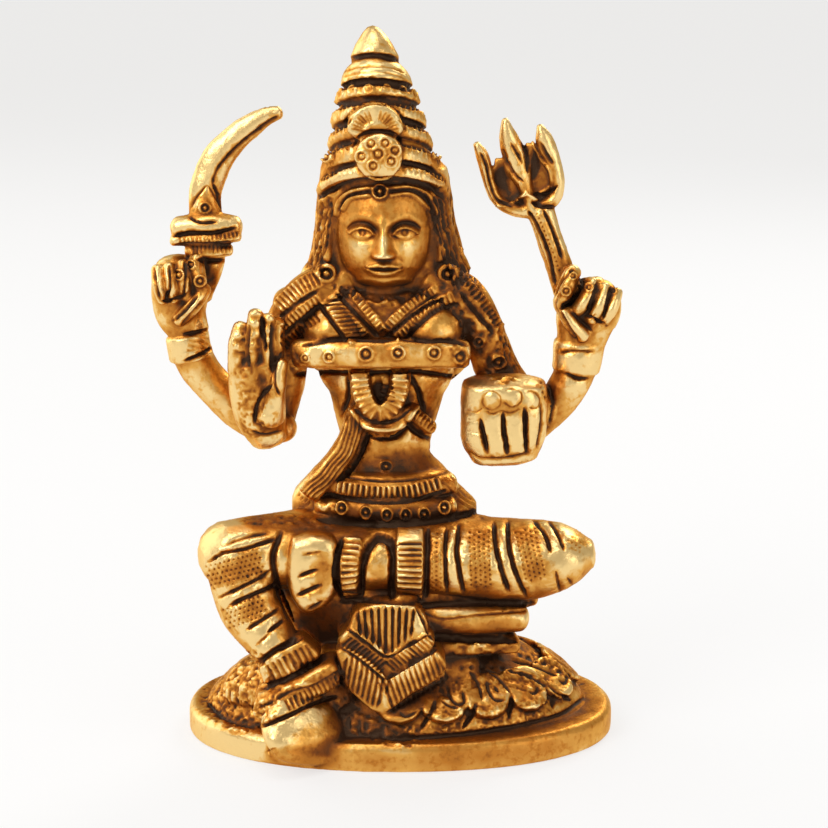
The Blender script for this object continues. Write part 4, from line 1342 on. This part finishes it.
def thin(thing):
    # fewer triangles where the surface is plain, the face keeps all of its own
    triangles = len(thing.data.polygons) * 2
    if triangles > fineness["triangles"]:
        x, y, z = coordinates(thing.data).T
        inFace = (y < -3.4) & (np.abs(x - head["x"]) < face["wide"] / 2 - 0.6) & (z > face["chin"] - 0.5) & (z < face["hairline"] - 1)
        kept = thing.vertex_groups.new(name="face")
        kept.add(np.nonzero(inFace)[0].tolist(), 1, "REPLACE")
        fewer = thing.modifiers.new("fewer", "DECIMATE")
        fewer.vertex_group = kept.name
        fewer.invert_vertex_group = True
        fewer.ratio = fineness["triangles"] / triangles
        fewer.use_collapse_triangulate = True
        mesh = bpy.data.meshes.new_from_object(thing.evaluated_get(bpy.context.evaluated_depsgraph_get()))
        thing.modifiers.clear()
        thing.vertex_groups.clear()
        old, thing.data = thing.data, mesh
        bpy.data.meshes.remove(old)
    dropSpecks(thing.data)
    thing.data.polygons.foreach_set("use_smooth", np.ones(len(thing.data.polygons), bool))


def dropSpecks(mesh):
    # the casting is one closed skin: specks that the remeshing left inside it go
    b = bmesh.new()
    b.from_mesh(mesh)
    waiting, parts = set(b.verts), []
    while waiting:
        part, queue = [], [waiting.pop()]
        while queue:
            v = queue.pop()
            part.append(v)
            near = [n for n in (e.other_vert(v) for e in v.link_edges) if n in waiting]
            waiting.difference_update(near)
            queue.extend(near)
        parts.append(part)
    parts.sort(key=len)
    bmesh.ops.delete(b, geom=[v for part in parts[:-1] for v in part], context="VERTS")
    b.to_mesh(mesh)
    b.free()
    print("specks dropped", [len(part) for part in parts[:-1]])


patina = {"rays": 14, "reach": 5.0, "under": 0.18}


def wearAttributes(thing):
    # recess: how closed in a place is; bend: how hollow it is
    mesh = thing.data
    points, outward, pairs = coordinates(mesh), normals(mesh), edgePairs(mesh)
    share = np.maximum(np.bincount(pairs.ravel(), minlength=len(points)), 1)
    tree = BVHTree.FromPolygons(points.tolist(), [tuple(p.vertices) for p in mesh.polygons])
    chance = np.random.default_rng(7)
    aim = chance.normal(size=(patina["rays"], 3))
    aim /= np.linalg.norm(aim, axis=1)[:, None]
    closed = np.zeros(len(points))
    for ray in aim:
        way = outward * 1.05 + ray
        way /= np.linalg.norm(way, axis=1)[:, None]
        begin = points + outward * 0.06
        for i, (p, d) in enumerate(zip(begin.tolist(), way.tolist())):
            far = tree.ray_cast(p, d, patina["reach"])[3]
            if far is not None:
                closed[i] += 1 - far / patina["reach"]
    closed /= patina["rays"]
    closed = 0.5 * closed + 0.5 * neighbourMean(closed, pairs, share)[:, 0] + patina["under"] * np.clip(-outward[:, 2], 0, 1)
    bend = ((neighbourMean(points, pairs, share) - points) * outward).sum(1)
    for _ in range(2):
        bend = neighbourMean(bend, pairs, share)[:, 0]
    for name, values in (("recess", closed), ("bend", np.clip(bend / 0.06, -1, 1))):
        layer = mesh.attributes.new(name, "FLOAT", "POINT")
        layer.data.foreach_set("value", values.astype(np.float32))
    print("recess", np.percentile(closed, [5, 50, 95]), "bend", np.percentile(bend, [5, 50, 95]))
    for name in ("carved", "worn"):
        kept = np.empty(len(points), np.float32)
        mesh.attributes[name].data.foreach_get("value", kept)
        print(name, np.percentile(kept, [50, 80, 95]))


# Antique brass

brassLook = {"pale": (0.93, 0.66, 0.28), "bright": (0.78, 0.40, 0.085), "gold": (0.56, 0.215, 0.032), "brown": (0.25, 0.074, 0.014),
             "dark": (0.037, 0.013, 0.006), "edge": (1.0, 0.82, 0.55), "polished": 0.33, "dull": 0.58, "grain": 0.4,
             "recess": 0.81, "bend": 0.34, "carved": 0.34, "worn": -0.3, "cloud": 0.2, "fleck": 0.14, "start": 0.245}


def makeBrass():
    look = brassLook
    brass = bpy.data.materials.new("antique_brass")
    brass.use_nodes = True
    add, link = brass.node_tree.nodes.new, brass.node_tree.links.new
    brass.node_tree.nodes.clear()
    out = add("ShaderNodeOutputMaterial")
    metal = add("ShaderNodeBsdfPrincipled")
    link(metal.outputs["BSDF"], out.inputs["Surface"])
    where = add("ShaderNodeTexCoord")
    cloud = add("ShaderNodeTexNoise")
    cloud.inputs["Scale"].default_value = 260
    cloud.inputs["Detail"].default_value = 6
    link(where.outputs["Object"], cloud.inputs["Vector"])
    # tone from polished to dirty: a sum of what was found on the mesh, broken up by the cloud
    tone = add("ShaderNodeMath")
    tone.operation = "MULTIPLY_ADD"
    tone.inputs[1].default_value = look["cloud"]
    tone.inputs[2].default_value = look["start"] - look["cloud"] / 2
    link(cloud.outputs["Fac"], tone.inputs[0])
    for label in ("recess", "bend", "carved", "worn"):
        found = add("ShaderNodeAttribute")
        found.attribute_name = label
        more = add("ShaderNodeMath")
        more.operation = "MULTIPLY_ADD"
        more.inputs[1].default_value = look[label]
        link(found.outputs["Fac"], more.inputs[0])
        link(tone.outputs[0], more.inputs[2])
        tone = more
    # small dark flecks in the pores
    fleck = add("ShaderNodeTexNoise")
    fleck.inputs["Scale"].default_value = 1100
    fleck.inputs["Detail"].default_value = 3
    link(where.outputs["Object"], fleck.inputs["Vector"])
    pores = add("ShaderNodeMapRange")
    pores.inputs["From Min"].default_value = 0.5
    pores.inputs["From Max"].default_value = 0.75
    pores.inputs["To Max"].default_value = look["fleck"]
    link(fleck.outputs["Fac"], pores.inputs["Value"])
    dirty = add("ShaderNodeMath")
    link(tone.outputs[0], dirty.inputs[0])
    link(pores.outputs["Result"], dirty.inputs[1])
    tone = dirty
    ramp = add("ShaderNodeValToRGB")
    stops = ramp.color_ramp.elements
    stops[0].position, stops[0].color = 0.0, (*look["pale"], 1)
    stops[1].position, stops[1].color = 0.78, (*look["dark"], 1)
    for place, colour in ((0.13, look["bright"]), (0.30, look["gold"]), (0.52, look["brown"])):
        stop = stops.new(place)
        stop.color = (*colour, 1)
    link(tone.outputs[0], ramp.inputs["Fac"])
    link(ramp.outputs["Color"], metal.inputs["Base Color"])
    metal.inputs["Specular Tint"].default_value = (*look["edge"], 1)
    for label, low, high, start, end in (("Roughness", 0.05, 0.6, look["polished"], look["dull"]),
                                         ("Metallic", 0.45, 0.8, 1.0, 0.3)):
        spread = add("ShaderNodeMapRange")
        spread.inputs["From Min"].default_value = low
        spread.inputs["From Max"].default_value = high
        spread.inputs["To Min"].default_value = start
        spread.inputs["To Max"].default_value = end
        link(tone.outputs[0], spread.inputs["Value"])
        link(spread.outputs["Result"], metal.inputs[label])
    grain = add("ShaderNodeTexNoise")
    grain.inputs["Scale"].default_value = 1400
    grain.inputs["Detail"].default_value = 4
    link(where.outputs["Object"], grain.inputs["Vector"])
    bump = add("ShaderNodeBump")
    bump.inputs["Strength"].default_value = look["grain"]
    bump.inputs["Distance"].default_value = 0.0002
    link(grain.outputs["Fac"], bump.inputs["Height"])
    link(bump.outputs["Normal"], metal.inputs["Normal"])
    return brass


# Floor, light and camera

studio = {"floor": 12.0, "floorColour": (0.22, 0.22, 0.22), "floorGlow": 0.69, "world": 0.48, "worldTint": (1, 0.95, 0.87)}
lamps = {"key": {"place": (-0.5, -0.55, 0.55), "size": 0.5, "power": 3.3},
         "side": {"place": (-0.6, 0.32, 0.33), "size": 0.8, "power": 2.4},
         "fill": {"place": (0.55, -0.45, 0.25), "size": 0.4, "power": 0.8},
         "top": {"place": (-0.05, -0.1, 0.65), "size": 0.35, "power": 0.9},
         "rim": {"place": (0.25, 0.45, 0.4), "size": 0.25, "power": 1.0}}


def makeStudio():
    half = studio["floor"] / 2
    floor = meshObject("floor", [(-half, -half, 0), (half, -half, 0), (half, half, 0), (-half, half, 0)], [(0, 1, 2, 3)])
    pale = bpy.data.materials.new("paleFloor")
    pale.use_nodes = True
    shader = pale.node_tree.nodes["Principled BSDF"]
    shader.inputs["Base Color"].default_value = (*studio["floorColour"], 1)
    shader.inputs["Roughness"].default_value = 0.8
    shader.inputs["Emission Color"].default_value = (1, 1, 1, 1)
    shader.inputs["Emission Strength"].default_value = studio["floorGlow"]
    floor.data.materials.append(pale)
    world = bpy.data.worlds.new("studio")
    world.use_nodes = True
    world.node_tree.nodes["Background"].inputs["Color"].default_value = (*studio["worldTint"], 1)
    world.node_tree.nodes["Background"].inputs["Strength"].default_value = studio["world"]
    bpy.context.scene.world = world
    bpy.context.scene.view_settings.view_transform = "Standard"
    aim = Vector((0, 0, 0.05))
    for name, l in lamps.items():
        lamp = bpy.data.lights.new(name, "AREA")
        lamp.size, lamp.energy = l["size"], l["power"]
        light = bpy.data.objects.new(name, lamp)
        light.location = l["place"]
        light.rotation_euler = (aim - Vector(l["place"])).to_track_quat("-Z", "Y").to_euler()
        bpy.context.scene.collection.objects.link(light)


def makeCamera():
    e = math.radians(view["elevation"])
    data = bpy.data.cameras.new("camera")
    data.lens, data.sensor_width = view["lens"], view["sensor"]
    camera = bpy.data.objects.new("camera", data)
    back = Vector((0, -math.cos(e), math.sin(e)))
    camera.location = (Vector(view["target"]) + back * view["distance"]) * mm
    camera.rotation_euler = (-back).to_track_quat("-Z", "Y").to_euler()
    data.clip_start, data.clip_end = 0.02, 20
    bpy.context.scene.collection.objects.link(camera)
    bpy.context.scene.camera = camera


makeCamera()
makeStudio()
brass = makeBrass()
smallShapes = makeShapes()
rowNodes = rowTree(brass)
for make in (makeBase, makePetals, makeFoldedLeg, makeHangingLeg, makeLap, makePleats, makeTrunk, makeChestBand,
             makeDress, makeBelt, makeSwordArm, makeOpenHand, makeSword, makeTridentArm, makeTrident, makeBowlHand,
             makeHead, makeVeil, makeCrown):
    make()
print("shells", len(shells), "points", sum(len(s[0]) for s in shells))
for thing in smallShapes.values():
    bpy.data.objects.remove(thing)
idol = castTogether()
print("skin", len(idol.data.polygons), "faces")
carve(idol)
thin(idol)
print("thinned", len(idol.data.polygons), "faces")
wearAttributes(idol)
idol.data.transform(Matrix.Scale(mm, 4))
idol.data.materials.clear()
idol.data.materials.append(brass)
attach(idol, "root")
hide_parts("idol")
